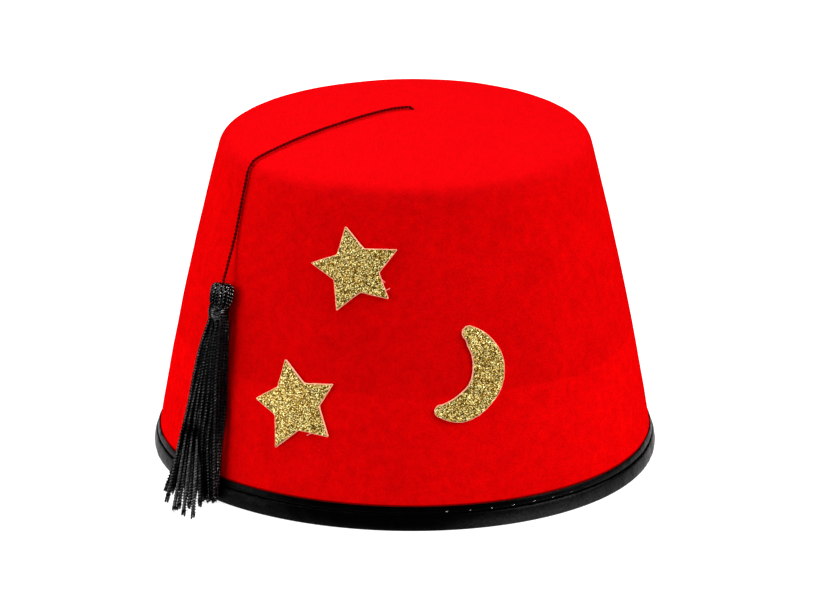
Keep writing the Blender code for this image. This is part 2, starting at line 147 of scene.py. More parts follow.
def smooth_line(points: list[Vector], steps: int) -> list[Vector]:
    """Lay a smooth curve through points.

    Args:
        points: Points that the curve passes through.
        steps: Steps from one point to the next.

    Returns:
        Points along the curve, with both ends.
    """
    padded = [2.0 * points[0] - points[1], *points, 2.0 * points[-1] - points[-2]]
    line = []
    for before, start, end, after in zip(padded, padded[1:], padded[2:], padded[3:]):
        for step in range(steps):
            t = step / steps
            line.append(
                0.5
                * (
                    2.0 * start
                    + (end - before) * t
                    + (2.0 * before - 5.0 * start + 4.0 * end - after) * t**2
                    + (3.0 * start - before - 3.0 * end + after) * t**3
                )
            )
    line.append(points[-1])
    return line


def evenly_spaced(line: list[Vector], spacing: float) -> list[Vector]:
    """Pick points along a fine line at an even spacing.

    Args:
        line: Points of the fine line.
        spacing: Wanted distance between the picked points.

    Returns:
        The picked points, with both ends of the line.
    """
    lengths = [(end - start).length for start, end in zip(line, line[1:])]
    count = max(2, round(sum(lengths) / spacing))
    wanted = [sum(lengths) * index / count for index in range(1, count)]
    spaced = [line[0]]
    walked = 0.0
    for start, end, length in zip(line, line[1:], lengths):
        while wanted and walked + length >= wanted[0]:
            spaced.append(start.lerp(end, (wanted.pop(0) - walked) / length))
        walked += length
    spaced.append(line[-1])
    return spaced


def smooth_step(value: float, low: float, high: float) -> float:
    """Rise from 0 at low to 1 at high without a corner at either end."""
    share = min(max((value - low) / (high - low), 0.0), 1.0)
    return share * share * (3.0 - 2.0 * share)


def polar(radius: float, bearing: float, height: float) -> Vector:
    """A point at a radius, a bearing and a height."""
    return Vector((radius * math.cos(bearing), radius * math.sin(bearing), height))


def spun(profile: list[Vector], steps: int) -> Shape:
    """Turn a profile once around Z.

    Args:
        profile: Points (radius, height) that end on the axis or close on themselves.
        steps: Facets around the axis.

    Returns:
        The turned shape, with each vertex's run along the profile in the layer "run".
    """
    shape = bmesh.new()
    run_layer = shape.verts.layers.float.new("run")
    verts = [shape.verts.new((point.x, 0.0, point.y)) for point in profile]
    run = 0.0
    for index, vert in enumerate(verts):
        run += (vert.co - verts[max(index - 1, 0)].co).length
        vert[run_layer] = run
    edges = [shape.edges.new(pair) for pair in zip(verts, verts[1:])]
    if min(profile[0].x, profile[-1].x) > 0.0:
        edges.append(shape.edges.new((verts[-1], verts[0])))
    bmesh.ops.spin(
        shape,
        geom=verts + edges,
        axis=(0.0, 0.0, 1.0),
        cent=(0.0, 0.0, 0.0),
        angle=2.0 * math.pi,
        steps=steps,
        use_merge=True,
    )
    bmesh.ops.remove_doubles(shape, verts=shape.verts, dist=0.005 * MM)
    bmesh.ops.recalc_face_normals(shape, faces=shape.faces)
    return shape


def unroll_around(shape: Shape, radius: float) -> None:
    """Give a spun shape a UV map in metres: around the axis, and along its profile.

    Args:
        shape: A shape from spun().
        radius: Radius at which the way round is measured.
    """
    run_layer = shape.verts.layers.float["run"]
    uv_layer = shape.loops.layers.uv.new("Cloth")
    for face in shape.faces:
        middle = face.calc_center_median()
        base = math.atan2(middle.y, middle.x)
        for loop in face.loops:
            here = math.atan2(loop.vert.co.y, loop.vert.co.x)
            turn = (here - base + math.pi) % (2.0 * math.pi) - math.pi
            loop[uv_layer].uv = ((base + turn) * radius, loop.vert[run_layer])


def finished(name: str, shape: Shape, material: Material, crease: float = 40.0) -> Piece:
    """Turn a bmesh into a piece that rides on the hat.

    Args:
        name: The piece's name.
        shape: The finished shape, which is used up.
        material: The piece's finish.
        crease: Angle in degrees above which an edge stays sharp.

    Returns:
        The piece's object, at the origin.
    """
    mesh = bpy.data.meshes.new(name)
    shape.to_mesh(mesh)
    shape.free()
    mesh.shade_smooth()
    mesh.set_sharp_from_angle(angle=math.radians(crease))
    mesh.materials.append(material)
    piece = bpy.data.objects.new(name, mesh)
    bpy.context.scene.collection.objects.link(piece)
    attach(piece, "root")
    return piece


@dataclass
class ThreadMaker:
    """Lays twisted threads along lines and gathers them into one shape."""

    sides: int = 10
    waist: float = 0.45  # how far the plies are pressed into each other: 1 is a plain round thread

    def section(self, twist: Twist) -> Piece:
        """Draw the cross-section of a thread of radius 1 as a closed curve.

        Args:
            twist: The thread's plies.

        Returns:
            The curve's object, which isn't linked into the scene.
        """
        curve = bpy.data.curves.new("thread_section", "CURVE")
        curve.dimensions = "2D"
        spline = curve.splines.new("POLY")
        spline.points.add(self.sides - 1)
        spline.use_cyclic_u = True
        depth = 0.0 if twist is Twist.SINGLE else (1.0 - self.waist) / 2.0
        for index in range(self.sides):
            turn = 2.0 * math.pi * index / self.sides
            reach = 1.0 - depth + depth * math.cos(twist.value * turn)
            place = Vector((reach * math.cos(turn), reach * math.sin(turn)))
            spline.points[index].co = (place.x, place.y, 0.0, 1.0)
        return bpy.data.objects.new("thread_section", curve)

    def lay(self, shape: Shape, lines: Threads, twist: Twist, pitch: float) -> None:
        """Add twisted threads to a shape.

        Args:
            shape: The shape that gains the threads.
            lines: For each thread, its points at an even spacing and its radius at each.
            twist: The threads' plies.
            pitch: Length of one full turn of the plies.
        """
        section = self.section(twist)
        curve = bpy.data.curves.new("threads", "CURVE")
        curve.dimensions = "3D"
        curve.twist_mode = "MINIMUM"
        curve.bevel_mode = "OBJECT"
        curve.bevel_object = section
        curve.use_fill_caps = True
        draw = Random(len(lines))
        for points, radii in lines:
            spline = curve.splines.new("POLY")
            spline.points.add(len(points) - 1)
            run = draw.random() * pitch
            for index, (point, radius) in enumerate(zip(points, radii)):
                run += (point - points[max(index - 1, 0)]).length
                spline.points[index].co = (*point, 1.0)
                spline.points[index].radius = radius
                spline.points[index].tilt = 2.0 * math.pi * run / pitch
        holder = bpy.data.objects.new("threads", curve)
        bpy.context.scene.collection.objects.link(holder)
        bpy.context.view_layer.update()
        graph = bpy.context.evaluated_depsgraph_get()
        tubes = bpy.data.meshes.new_from_object(holder.evaluated_get(graph))
        shape.from_mesh(tubes)
        for leftover in (holder, section):
            bpy.data.objects.remove(leftover, do_unlink=True)
        bpy.data.meshes.remove(tubes)

    @staticmethod
    def closed(shape: Shape) -> None:
        """Weld the thread ends of a shape and turn its faces outwards."""
        bmesh.ops.remove_doubles(shape, verts=shape.verts, dist=0.002 * MM)
        bmesh.ops.recalc_face_normals(shape, faces=shape.faces)

    def piece(
        self,
        name: str,
        lines: Threads,
        twist: Twist,
        pitch: float,
        material: Material,
        crease: float = 80.0,
    ) -> Piece:
        """Make a piece of threads alone.

        Args:
            name: The piece's name.
            lines: For each thread, its points at an even spacing and its radius at each.
            twist: The threads' plies.
            pitch: Length of one full turn of the plies.
            material: The piece's finish.
            crease: Angle in degrees above which an edge stays sharp.

        Returns:
            The finished piece.
        """
        shape = bmesh.new()
        self.lay(shape, lines, twist, pitch)
        self.closed(shape)
        return finished(name, shape, material, crease)


# --- The crown's form -----------------------------------------------------------------------------


@dataclass(frozen=True)
class CrownForm:
    """The crown's outside: a body of revolution, carried over to its slightly uneven plan."""

    base_radius: float = 97.2 * MM
    top_radius: float = 70.5 * MM
    height: float = 125.9 * MM
    bulge: float = 1.7 * MM
    dome: float = 8.8 * MM
    shoulder: float = 3.9 * MM
    lobe_cosine: float = -0.0066  # the plan's three faint lobes, as shares of its radius
    lobe_sine: float = -0.0095
    top_tilt: float = 0.0062  # slope of the top towards +X
    binding_reach: float = 98.5 * MM  # radius of the binding's widest ring
    footprint_steps: int = 72

    def side_radius(self, height: float) -> float:
        """Find the outer radius of the round crown's side.

        Args:
            height: Height of the place.

        Returns:
            The radius.
        """
        share = height / self.height
        taper = (self.top_radius - self.base_radius) * share
        return self.base_radius + taper + self.bulge * 4.0 * share * (1.0 - share)

    def side_lean(self, height: float) -> float:
        """Find the angle by which the side leans inwards.

        Args:
            height: Height of the place.

        Returns:
            The angle in radians.
        """
        share = height / self.height
        taper = self.base_radius - self.top_radius
        return math.atan((taper - self.bulge * 4.0 * (1.0 - 2.0 * share)) / self.height)

    def top_height(self, radius: float) -> float:
        """Height of the domed top at a distance from its middle."""
        return self.height + self.dome * (1.0 - (radius / self.top_radius) ** 2)

    def outline(
        self,
        top_steps: int,
        shoulder_steps: int,
        side_steps: int,
        low: float,
    ) -> list[Vector]:
        """Draw the round crown's outside.

        Args:
            top_steps: Steps over the top.
            shoulder_steps: Steps round the shoulder.
            side_steps: Steps down the side.
            low: Height of the lower end.

        Returns:
            Points (radius, height) from the top's middle to the lower edge.
        """
        rim = self.top_radius - self.shoulder
        brow = self.height - self.shoulder
        shoulder_start = Vector((rim, self.top_height(rim)))
        shoulder_end = Vector((self.side_radius(brow), brow))
        corner = Vector((self.top_radius, self.height))
        points = []
        for step in range(top_steps):
            radius = rim * step / top_steps
            points.append(Vector((radius, self.top_height(radius))))
        for step in range(shoulder_steps):
            t = step / shoulder_steps
            points.append(shoulder_start.lerp(corner, t).lerp(corner.lerp(shoulder_end, t), t))
        for step in range(side_steps + 1):
            height = brow + (low - brow) * step / side_steps
            points.append(Vector((self.side_radius(height), height)))
        return points

    def inset(self, outline: list[Vector], depth: float) -> list[Vector]:
        """Move an outline into the felt.

        Args:
            outline: Points from outline().
            depth: How deep the new outline lies.

        Returns:
            The moved points, still ending on the axis and at the same lowest height.
        """
        moved = [Vector((0.0, outline[0].y - depth))]
        for before, point, after in zip(outline, outline[1:], outline[2:]):
            moved.append(point - depth * self.outward(after - before))
        last = outline[-1]
        moved.append(Vector((last.x - depth / math.cos(self.side_lean(last.y)), last.y)))
        return moved

    @staticmethod
    def outward(along: Vector) -> Vector:
        """Outward normal of an outline that runs this way, away from the top's middle."""
        return Vector((-along.y, along.x)).normalized()

    def uneven(self, point: Vector) -> Vector:
        """Carry a point of the round crown to the uneven plan and the tilted top.

        Args:
            point: The point on the round crown.

        Returns:
            The moved point.
        """
        bearing = math.atan2(point.y, point.x)
        lobes = self.lobe_cosine * math.cos(3.0 * bearing)
        lobes += self.lobe_sine * math.sin(3.0 * bearing)
        x =point.x * (1.0 + lobes)
        share = min(max(point.z / self.height, 0.0), 1.0)
        return Vector((x, point.y * (1.0 + lobes), point.z + self.top_tilt * x * share**2))

    @property
    def footprint_middle(self) -> Vector:
        """Find the middle of the box around the binding's uneven plan.

        Returns:
            The middle, at height 0.
        """
        steps = self.footprint_steps
        turns = [2.0 * math.pi * step / steps for step in range(steps)]
        ring = [self.uneven(polar(self.binding_reach, turn, 0.0)) for turn in turns]
        x_values = [point.x for point in ring]
        y_values = [point.y for point in ring]
        return Vector((min(x_values) + max(x_values), min(y_values) + max(y_values), 0.0)) / 2.0

    def settled(self, point: Vector) -> Vector:
        """Place of a point of the round crown on the finished hat."""
        return self.uneven(point) - FOOTPRINT_MIDDLE

    def over_side(self, height: float, bearing: float, lift: float) -> Vector:
        """Find a point out from the felt's side, square to it.

        Args:
            height: Height of the felt behind the point.
            bearing: Bearing of the point.
            lift: Distance from the felt.

        Returns:
            The point on the finished hat.
        """
        lean = self.side_lean(height)
        radius = self.side_radius(height) + lift * math.cos(lean)
        return self.settled(polar(radius, bearing, height + lift * math.sin(lean)))

    def over_felt(self, run: float, bearing: float, lift: float) -> Vector:
        """Find a point over the felt.

        Args:
            run: Length along the outline from the top's middle.
            bearing: Bearing of the point.
            lift: Distance from the felt.

        Returns:
            The point on the finished hat.
        """
        left = run
        for start, end in zip(FINE_OUTLINE, FINE_OUTLINE[1:]):
            length = (end - start).length
            if left <= length:
                break
            left -= length
        along = (end - start).normalized()
        place = start + along * left + self.outward(along) * lift
        return self.settled(polar(place.x, bearing, place.y))


FORM = CrownForm()
FOOTPRINT_MIDDLE = FORM.footprint_middle
FINE_OUTLINE = FORM.outline(60, 24, 120, 0.0)


# --- Finishes -------------------------------------------------------------------------------------


@dataclass
class NodeBench:
    """Places and joins the nodes of one tree."""

    tree: bpy.types.NodeTree

    def add(self, kind: str, **settings: object) -> bpy.types.Node:
        """Place a node.

        Args:
            kind: The node's type.
            settings: The node's options by name.

        Returns:
            The new node.
        """
        node = self.tree.nodes.new(kind)
        count = len(self.tree.nodes)
        node.location = (220.0 * (count % 8), -260.0 * (count // 8))
        for name, value in settings.items():
            setattr(node, name, value)
        return node

    def feed(self, socket: Socket, value: object) -> None:
        """Join an output to an input, or set the input to a constant.

        Args:
            socket: The input.
            value: The output or the constant.
        """
        if isinstance(value, Socket):
            self.tree.links.new(value, socket)
        else:
            socket.default_value = value

    def feed_all(self, node: bpy.types.Node, values: dict[str, object]) -> None:
        """Feed several inputs of a node by their names."""
        for name, value in values.items():
            self.feed(node.inputs[name], value)

    def place(self) -> Socket:
        """The object's own coordinates."""
        return self.add("ShaderNodeTexCoord").outputs["Object"]

    def axes(self, vector: Socket) -> tuple[Socket, ...]:
        """Split a place into its coordinates.

        Args:
            vector: The place.

        Returns:
            The sockets with X, Y and Z.
        """
        split = self.add("ShaderNodeSeparateXYZ")
        self.feed(split.inputs[0], vector)
        return tuple(split.outputs)

    def product(self, *factors: object) -> Socket:
        """Multiply numbers, one after another.

        Args:
            factors: Two or more numbers or sockets.

        Returns:
            The socket with the result.
        """
        result, *others = factors
        for factor in others:
            result = self.math("MULTIPLY", result, factor)
        return result

    def math(self, operation: str, first: object, second: object = 0.0) -> Socket:
        """Work out one number from two.

        Args:
            operation: The sum's name.
            first: A number or a socket.
            second: A number or a socket.

        Returns:
            The socket with the result.
        """
        node = self.add("ShaderNodeMath", operation=operation)
        self.feed(node.inputs[0], first)
        self.feed(node.inputs[1], second)
        return node.outputs[0]

    def stretched(
        self,
        value: object,
        low: float,
        high: float,
        to_low: float = 0.0,
        to_high: float = 1.0,
        smooth: bool = False,
    ) -> Socket:
        """Carry a value from one range to another, held at its ends.

        Args:
            value: The socket to carry over.
            low: Start of the first range.
            high: End of the first range.
            to_low: Start of the new range.
            to_high: End of the new range.
            smooth: Whether the change is eased at both ends.

        Returns:
            The socket with the result.
        """
        easing = "SMOOTHSTEP" if smooth else "LINEAR"
        node = self.add("ShaderNodeMapRange", interpolation_type=easing)
        ends = {"From Min": low, "From Max": high, "To Min": to_low, "To Max": to_high}
        self.feed_all(node, {"Value": value, **ends})
        return node.outputs["Result"]

    def noise(
        self,
        vector: Socket,
        scale: float,
        detail: float = 2.0,
        roughness: float = 0.5,
        distortion: float = 0.0,
    ) -> Socket:
        """A cloud pattern.

        Args:
            vector: Where it is read.
            scale: Blotches for each metre, about.
            detail: Number of finer layers.
            roughness: Strength of the finer layers.
            distortion: How far it is drawn about.

        Returns:
            The socket with the pattern, around 0.5.
        """
        node = self.add("ShaderNodeTexNoise")
        finer = {"Detail": detail, "Roughness": roughness, "Distortion": distortion}
        self.feed_all(node, {"Vector": vector, "Scale": scale, **finer})
        return node.outputs["Fac"]

    def mapped(self, vector: Socket, scale: tuple, turn: tuple = (0.0, 0.0, 0.0)) -> Socket:
        """Stretch and turn the coordinates of a pattern.

        Args:
            vector: The coordinates.
            scale: Stretch along each axis.
            turn: Turn round each axis in radians.

        Returns:
            The socket with the new coordinates.
        """
        node = self.add("ShaderNodeMapping")
        self.feed_all(node, {"Vector": vector, "Rotation": turn, "Scale": scale})
        return node.outputs["Vector"]

    def mixed(
        self,
        share: object,
        first: object,
        second: object,
        blend: str = "MIX",
    ) -> Socket:
        """Mix two colours.

        Args:
            share: How much of the second there is.
            first: A colour or a socket.
            second: A colour or a socket.
            blend: How the second is laid on the first.

        Returns:
            The socket with the mixed colour.
        """
        node = self.add("ShaderNodeMix", data_type="RGBA", blend_type=blend, clamp_factor=True)
        self.feed(node.inputs["Factor"], share)
        self.feed(node.inputs[6], first)
        self.feed(node.inputs[7], second)
        return node.outputs[2]

    def shaded(self, colour: object, shade: Socket) -> Socket:
        """Make a colour lighter or darker.

        Args:
            colour: A colour or a socket.
            shade: The factor.

        Returns:
            The socket with the new colour.
        """
        node = self.add("ShaderNodeVectorMath", operation="SCALE")
        self.feed(node.inputs[0], colour)
        self.feed(node.inputs["Scale"], shade)
        return node.outputs["Vector"]

    def bumped(
        self,
        height: Socket,
        distance: float,
        strength: float = 1.0,
        normal: Socket | None = None,
    ) -> Socket:
        """A surface normal that follows a height pattern.

        Args:
            height: The pattern, from 0 to 1.
            distance: Real height of the pattern in metres.
            strength: Share of the effect.
            normal: A bumped normal that this one lies on.

        Returns:
            The socket with the new normal.
        """
        node = self.add("ShaderNodeBump")
        self.feed_all(node, {"Distance": distance, "Strength": strength, "Height": height})
        if normal is not None:
            self.feed(node.inputs["Normal"], normal)
        return node.outputs["Normal"]

    def group(self, tree: bpy.types.NodeTree, **values: object) -> bpy.types.Node:
        """Place a shared effect.

        Args:
            tree: The effect's node group.
            values: What each of its inputs is given.

        Returns:
            The group's node.
        """
        node = self.add("ShaderNodeGroup", node_tree=tree)
        self.feed_all(node, values)
        return node


class SharedEffects:
    """Node groups that several finishes use."""

    @staticmethod
    def start(
        name: str,
        numbers: dict[str, float],
    ) -> tuple[NodeBench, bpy.types.Node, bpy.types.Node]:
        """Open a node group that turns a place and some numbers into a shade and a height.

        Args:
            name: The group's name.
            numbers: Its number inputs, with their usual values.

        Returns:
            The bench, the group's input node and its output node.
        """
        tree = bpy.data.node_groups.new(name, "ShaderNodeTree")
        tree.interface.new_socket("Vector", in_out="INPUT", socket_type="NodeSocketVector")
        for title, usual in numbers.items():
            socket = tree.interface.new_socket(title, in_out="INPUT", socket_type="NodeSocketFloat")
            socket.default_value = usual
        for title in ("Shade", "Height"):
            tree.interface.new_socket(title, in_out="OUTPUT", socket_type="NodeSocketFloat")
        bench = NodeBench(tree)
        return bench, bench.add("NodeGroupInput"), bench.add("NodeGroupOutput")

    @staticmethod
    def finish(
        bench: NodeBench,
        given: bpy.types.Node,
        result: bpy.types.Node,
        pattern: Socket,
    ) -> bpy.types.NodeTree:
        """Put out a pattern as a height, and as a shade that swings round 1.

        Args:
            bench: The group's bench.
            given: The group's input node.
            result: The group's output node.
            pattern: The pattern, from 0 to 1.

        Returns:
            The finished group.
        """
        swing = bench.product(bench.math("SUBTRACT", pattern, 0.5), given.outputs["Amount"])
        doubled = bench.add("ShaderNodeMath", operation="MULTIPLY_ADD")
        for socket, value in zip(doubled.inputs, (swing, 2.0, 1.0)):
            bench.feed(socket, value)
        bench.feed_all(result, {"Shade": doubled.outputs[0], "Height": pattern})
        return bench.tree

    def cloudy_tone(self) -> bpy.types.NodeTree:
        """Soft blotches of lighter and darker tone, as dye and handling leave them.

        Returns:
            The node group.
        """
        bench, given, result = self.start("cloudy_tone", {"Scale": 200.0, "Amount": 0.1})
        cloud = bench.noise(given.outputs["Vector"], given.outputs["Scale"], 3.0, 0.55)
        return self.finish(bench, given, result, cloud)

    def matted_fibres(self) -> bpy.types.NodeTree:
        """Short fibres that lie in all directions, pressed together.

        Returns:
            The node group.
        """
        bench, given, result = self.start("matted_fibres", {"Scale": 900.0, "Amount": 0.2})
        place = given.outputs["Vector"]
        layers = []
        for number, turn in enumerate(((0.3, 0.2, 0.5), (1.2, 0.9, 1.7), (0.6, 1.9, 2.7))):
            laid = bench.mapped(place, (1.0, 0.35, 1.0), turn)
            layers.append(bench.noise(laid, given.outputs["Scale"], 2.0, 0.6, 1.2 + 0.3 * number))
        matted = bench.math("MAXIMUM", bench.math("MAXIMUM", layers[0], layers[1]), layers[2])
        return self.finish(bench, given, result, bench.stretched(matted, 0.45, 0.8))


EFFECTS = SharedEffects()
CLOUDY_TONE = EFFECTS.cloudy_tone()
MATTED_FIBRES = EFFECTS.matted_fibres()


def new_finish(name: str) -> tuple[Material, NodeBench, bpy.types.Node]:
    """Open a new material.

    Args:
        name: The finish's name.

    Returns:
        The material, a bench for its nodes and its shader.
    """
    material = bpy.data.materials.new(name)
    material.use_nodes = True
    bench = NodeBench(material.node_tree)
    return material, bench, material.node_tree.nodes["Principled BSDF"]


@dataclass(frozen=True)
class FeltFinish:
    """Pressed red felt: cloudy dye, matted fibres, painted light that brightens its lower part,
    painted shadow just above the tape, painted sheen on the top.
    """

    colour: tuple = (0.553, 0.0005, 0.0008, 1.0)
    # Painted sheen: over the top the colour turns to a slightly bluer red, for the sheen the light
    # puts on it.
    top_colour: tuple = (0.553, 0.0011, 0.0024, 1.0)
    top_start: float = 118.0 * MM
    top_end: float = 128.0 * MM
    # Painted light: below a wavering ring about 50 mm up, the felt's colour is painted brighter.
    ring_height: float = 50.0 * MM
    ring_width: float = 2.0 * MM
    painted_light_gain: float = 1.14
    ring_waver: float = 1.2 * MM
    # Painted shadow: just above the tape's top edge the felt is painted darker, where the tape
    # shades it.
    seam_height: float = 9.6 * MM
    seam_width: float = 0.6 * MM
    painted_shadow_tone: float = 0.25
    sheen: float = 0.06
    sheen_tint: tuple = (1.0, 0.003, 0.004, 1.0)

    def material(self) -> Material:
        """Make the felt's material.

        Returns:
            The material.
        """
        material, bench, shader = new_finish("red_felt")
        place = bench.place()
        broad = bench.group(CLOUDY_TONE, Vector=place, Scale=60.0, Amount=0.13)
        blotches = bench.group(CLOUDY_TONE, Vector=place, Scale=260.0, Amount=0.22)
        fibres = bench.group(MATTED_FIBRES, Vector=place, Scale=700.0, Amount=0.11)
        height = bench.axes(place)[2]
        cloud = bench.noise(place, 25.0, 1.0)
        waver = bench.stretched(cloud, 0.3, 0.7, -self.ring_waver, self.ring_waver)
        low = self.ring_height - self.ring_width / 2.0
        high = self.ring_height + self.ring_width / 2.0
        # painted light: brighter colour below the ring
        painted_lower_light = bench.stretched(
            bench.math("ADD", height, waver), low, high, self.painted_light_gain, 1.0, True
        )
        # painted shadow on the felt just above the tape
        seam_end = self.seam_height + self.seam_width
        painted_tape_shadow = bench.stretched(height, self.seam_height, seam_end, self.painted_shadow_tone, 1.0, True)
        mottle = bench.product(*(layer.outputs["Shade"] for layer in (broad, blotches, fibres)))
        calm = bench.stretched(height, 122.0 * MM, 127.0 * MM, 1.0, 0.4)
        mottle = bench.product(bench.math("SUBTRACT", mottle, 1.0), calm)
        tone = bench.product(bench.math("ADD", mottle, 1.0), painted_lower_light, painted_tape_shadow)
        # painted sheen on the top, mixed into the felt's colour by height
        painted_top_sheen = bench.stretched(height, self.top_start, self.top_end)
        dye = bench.mixed(painted_top_sheen, self.colour, self.top_colour)
        nap = bench.bumped(blotches.outputs["Height"], 0.5 * MM, 0.27)
        fuzz = bench.bumped(fibres.outputs["Height"], 0.22 * MM, 0.5, nap)
        finish = {
            "Base Color": bench.shaded(dye, tone),
            "Roughness": 1.0,
            "Specular IOR Level": 0.0,
            "Sheen Weight": self.sheen,
            "Sheen Roughness": 0.5,
            "Sheen Tint": self.sheen_tint,
            "Normal": fuzz,
        }
        bench.feed_all(shader, finish)
        return material


@dataclass(frozen=True)
class SatinFinish:
    """Black satin bias tape: fine slanting threads, soft streaks, and a slanting gloss."""

    colour: tuple = (0.0003, 0.0003, 0.0003)
    facing_gloss: float = 0.003
    slanting_gloss: float = 0.04
    patch_gloss: float = 0.11
    seam_height: float = 6.8 * MM

    def gloss_patch(self, bench: NodeBench, place: Socket) -> Socket:
        """Mask of a patch of stronger gloss low on the tape's front right.

        Args:
            bench: The material's bench.
            place: The object's coordinates.

        Returns:
            The socket with the mask.
        """
        x, y, z = bench.axes(place)
        start = bench.stretched(x, 8.0 * MM, 48.0 * MM, 0.0, 1.0, True)
        end = bench.stretched(x, 52.0 * MM, 84.0 * MM, 1.0, 0.0, True)
        low = bench.stretched(z, 1.0 * MM, self.seam_height, 1.6, 0.12)
        front = bench.stretched(y, -30.0 * MM, -20.0 * MM, 1.0, 0.0)
        return bench.product(start, end, low, front)

    def painted_gloss_shade(self, bench: NodeBench, place: Socket) -> Socket:
        """Painted shade in the tape's gloss over its height: black in the groove, dull above it and
        at the fold.

        Args:
            bench: The material's bench.
            place: The object's coordinates.

        Returns:
            The socket with the tone.
        """
        height = bench.axes(place)[2]
        waver = bench.stretched(bench.noise(place, 420.0, 2.0), 0.3, 0.7, -0.16 * MM, 0.16 * MM)
        off = bench.math("SUBTRACT", bench.math("ADD", height, waver), self.seam_height)
        groove = bench.stretched(bench.math("ABSOLUTE", off), 0.22 * MM, 0.42 * MM, 0.02, 1.0)
        upper = bench.stretched(off, 0.2 * MM, 1.2 * MM, 1.0, 0.7)
        fold = bench.stretched(height, 0.3 * MM, 2.6 * MM, 0.3, 1.0)
        return bench.product(groove, upper, fold)

    def material(self) -> Material:
        """Make the tape's material.

        Returns:
            The material.
        """
        material, bench, shader = new_finish("black_satin")
        place = bench.place()
        cloth = bench.add("ShaderNodeUVMap", uv_map="Cloth").outputs["UV"]
        bias = bench.mapped(cloth, (1.0, 1.0, 1.0), (0.0, 0.0, math.radians(45.0)))
        threads = bench.noise(bench.mapped(bias, (4200.0, 260.0, 1.0)), 1.0, 2.0, 0.5)
        streaks = bench.noise(bench.mapped(cloth, (520.0, 60.0, 1.0)), 1.0, 2.0, 0.6)
        lint = bench.noise(bench.mapped(cloth, (1500.0, 900.0, 1.0)), 1.0, 3.0, 0.7)
        clouds = bench.group(CLOUDY_TONE, Vector=cloth, Scale=120.0, Amount=0.5).outputs["Shade"]
        streaked = bench.stretched(streaks, 0.3, 0.75, 0.6, 2.2)
        tone = bench.product(clouds, streaked, bench.stretched(threads, 0.3, 0.7, 0.75, 1.4))
        slant = bench.add("ShaderNodeLayerWeight").outputs["Facing"]
        plain = bench.stretched(slant, 0.07, 0.32, self.facing_gloss, self.slanting_gloss)
        patch = bench.product(self.gloss_patch(bench, place), self.patch_gloss)
        # the gloss carries painted shade in the groove, above it and at the fold
        gloss = bench.product(bench.math("ADD", plain, patch), self.painted_gloss_shade(bench, place))
        linty = bench.product(bench.stretched(lint, 0.35, 0.7, 0.45, 2.0), clouds)
        weave = bench.bumped(threads, 0.04 * MM, 0.5)
        finish = {
            "Base Color": bench.shaded(self.colour, tone),
            "Roughness": bench.stretched(streaks, 0.3, 0.7, 0.45, 0.3),
            "Specular IOR Level": bench.product(gloss, linty),
            "Normal": bench.bumped(streaks, 0.15 * MM, 0.35, weave),
        }
        bench.feed_all(shader, finish)
        return material


@dataclass(frozen=True)
class ThreadFinish:
    """Twisted black rayon: fine filaments along each ply, with small glints."""

    name: str
    gloss: float
    colour: tuple = (0.0012, 0.0012, 0.0014)
    # Painted highlight: with folded set, the gloss is raised near the top of the tassel's head.
    folded: bool = False  # whether its folds at the tassel's top catch the light

    def painted_top_glint(self, bench: NodeBench, place: Socket) -> Socket:
        """Painted highlight: gain of the gloss near the top of the tassel's head, where the strands
        are folded over it.
        """
        return bench.stretched(bench.axes(place)[2], 78.3 * MM, 80.5 * MM, 0.7, 2.4, True)

    def plies(self, bench: NodeBench, laid: Socket) -> Socket:
        """Painted shade: a mask of the plies' raised backs, which leaves the gloss out of the
        valleys between them.

        Args:
            bench: The material's bench.
            laid: The thread's own coordinates, along it and around it.

        Returns:
            The socket with the mask.
        """
        around = bench.axes(laid)[1]
        wave = bench.math("COSINE", bench.product(around, 2.0 * math.pi))
        return bench.stretched(bench.math("ABSOLUTE", wave), 0.3, 0.9, 0.06, 1.0, True)

    def material(self) -> Material:
        """Make the thread's material.

        Returns:
            The material.
        """
        material, bench, shader = new_finish(self.name)
        place = bench.place()
        laid = bench.add("ShaderNodeUVMap", uv_map="UVMap").outputs["UV"]
        filaments = bench.noise(bench.mapped(laid, (60.0, 24.0, 1.0)), 1.0, 3.0, 0.6)
        fibres = bench.group(MATTED_FIBRES, Vector=place, Scale=2600.0, Amount=0.25)
        clouds = bench.group(CLOUDY_TONE, Vector=place, Scale=380.0, Amount=0.45)
        combed = bench.stretched(filaments, 0.3, 0.7, 0.5, 2.0)
        tone = bench.product(clouds.outputs["Shade"], fibres.outputs["Shade"], combed)
        shine = bench.stretched(filaments, 0.42, 0.68, 0.2 * self.gloss, 1.3 * self.gloss)
        broken = bench.stretched(fibres.outputs["Height"], 0.3, 0.75, 0.2, 1.6)
        glints = bench.product(shine, broken)
        if self.folded:
            glints = bench.product(glints, self.painted_top_glint(bench, place))
        # Painted highlight and shade: the gloss stays on each thread's back that faces the view and
        # leaves its sides.
        slant = bench.add("ShaderNodeLayerWeight").outputs["Facing"]
        back = bench.stretched(slant, 0.08, 0.36, 1.0, 0.02, True)
        ridge_light_valley_shade = bench.product(back, self.plies(bench, laid))
        finish = {
            "Base Color": bench.shaded(self.colour, tone),
            "Roughness": bench.stretched(filaments, 0.3, 0.7, 0.3, 0.17),
            "Specular IOR Level": bench.product(glints, ridge_light_valley_shade),
            "Normal": bench.bumped(filaments, 0.08 * MM, 0.4),
        }
        bench.feed_all(shader, finish)
        return material


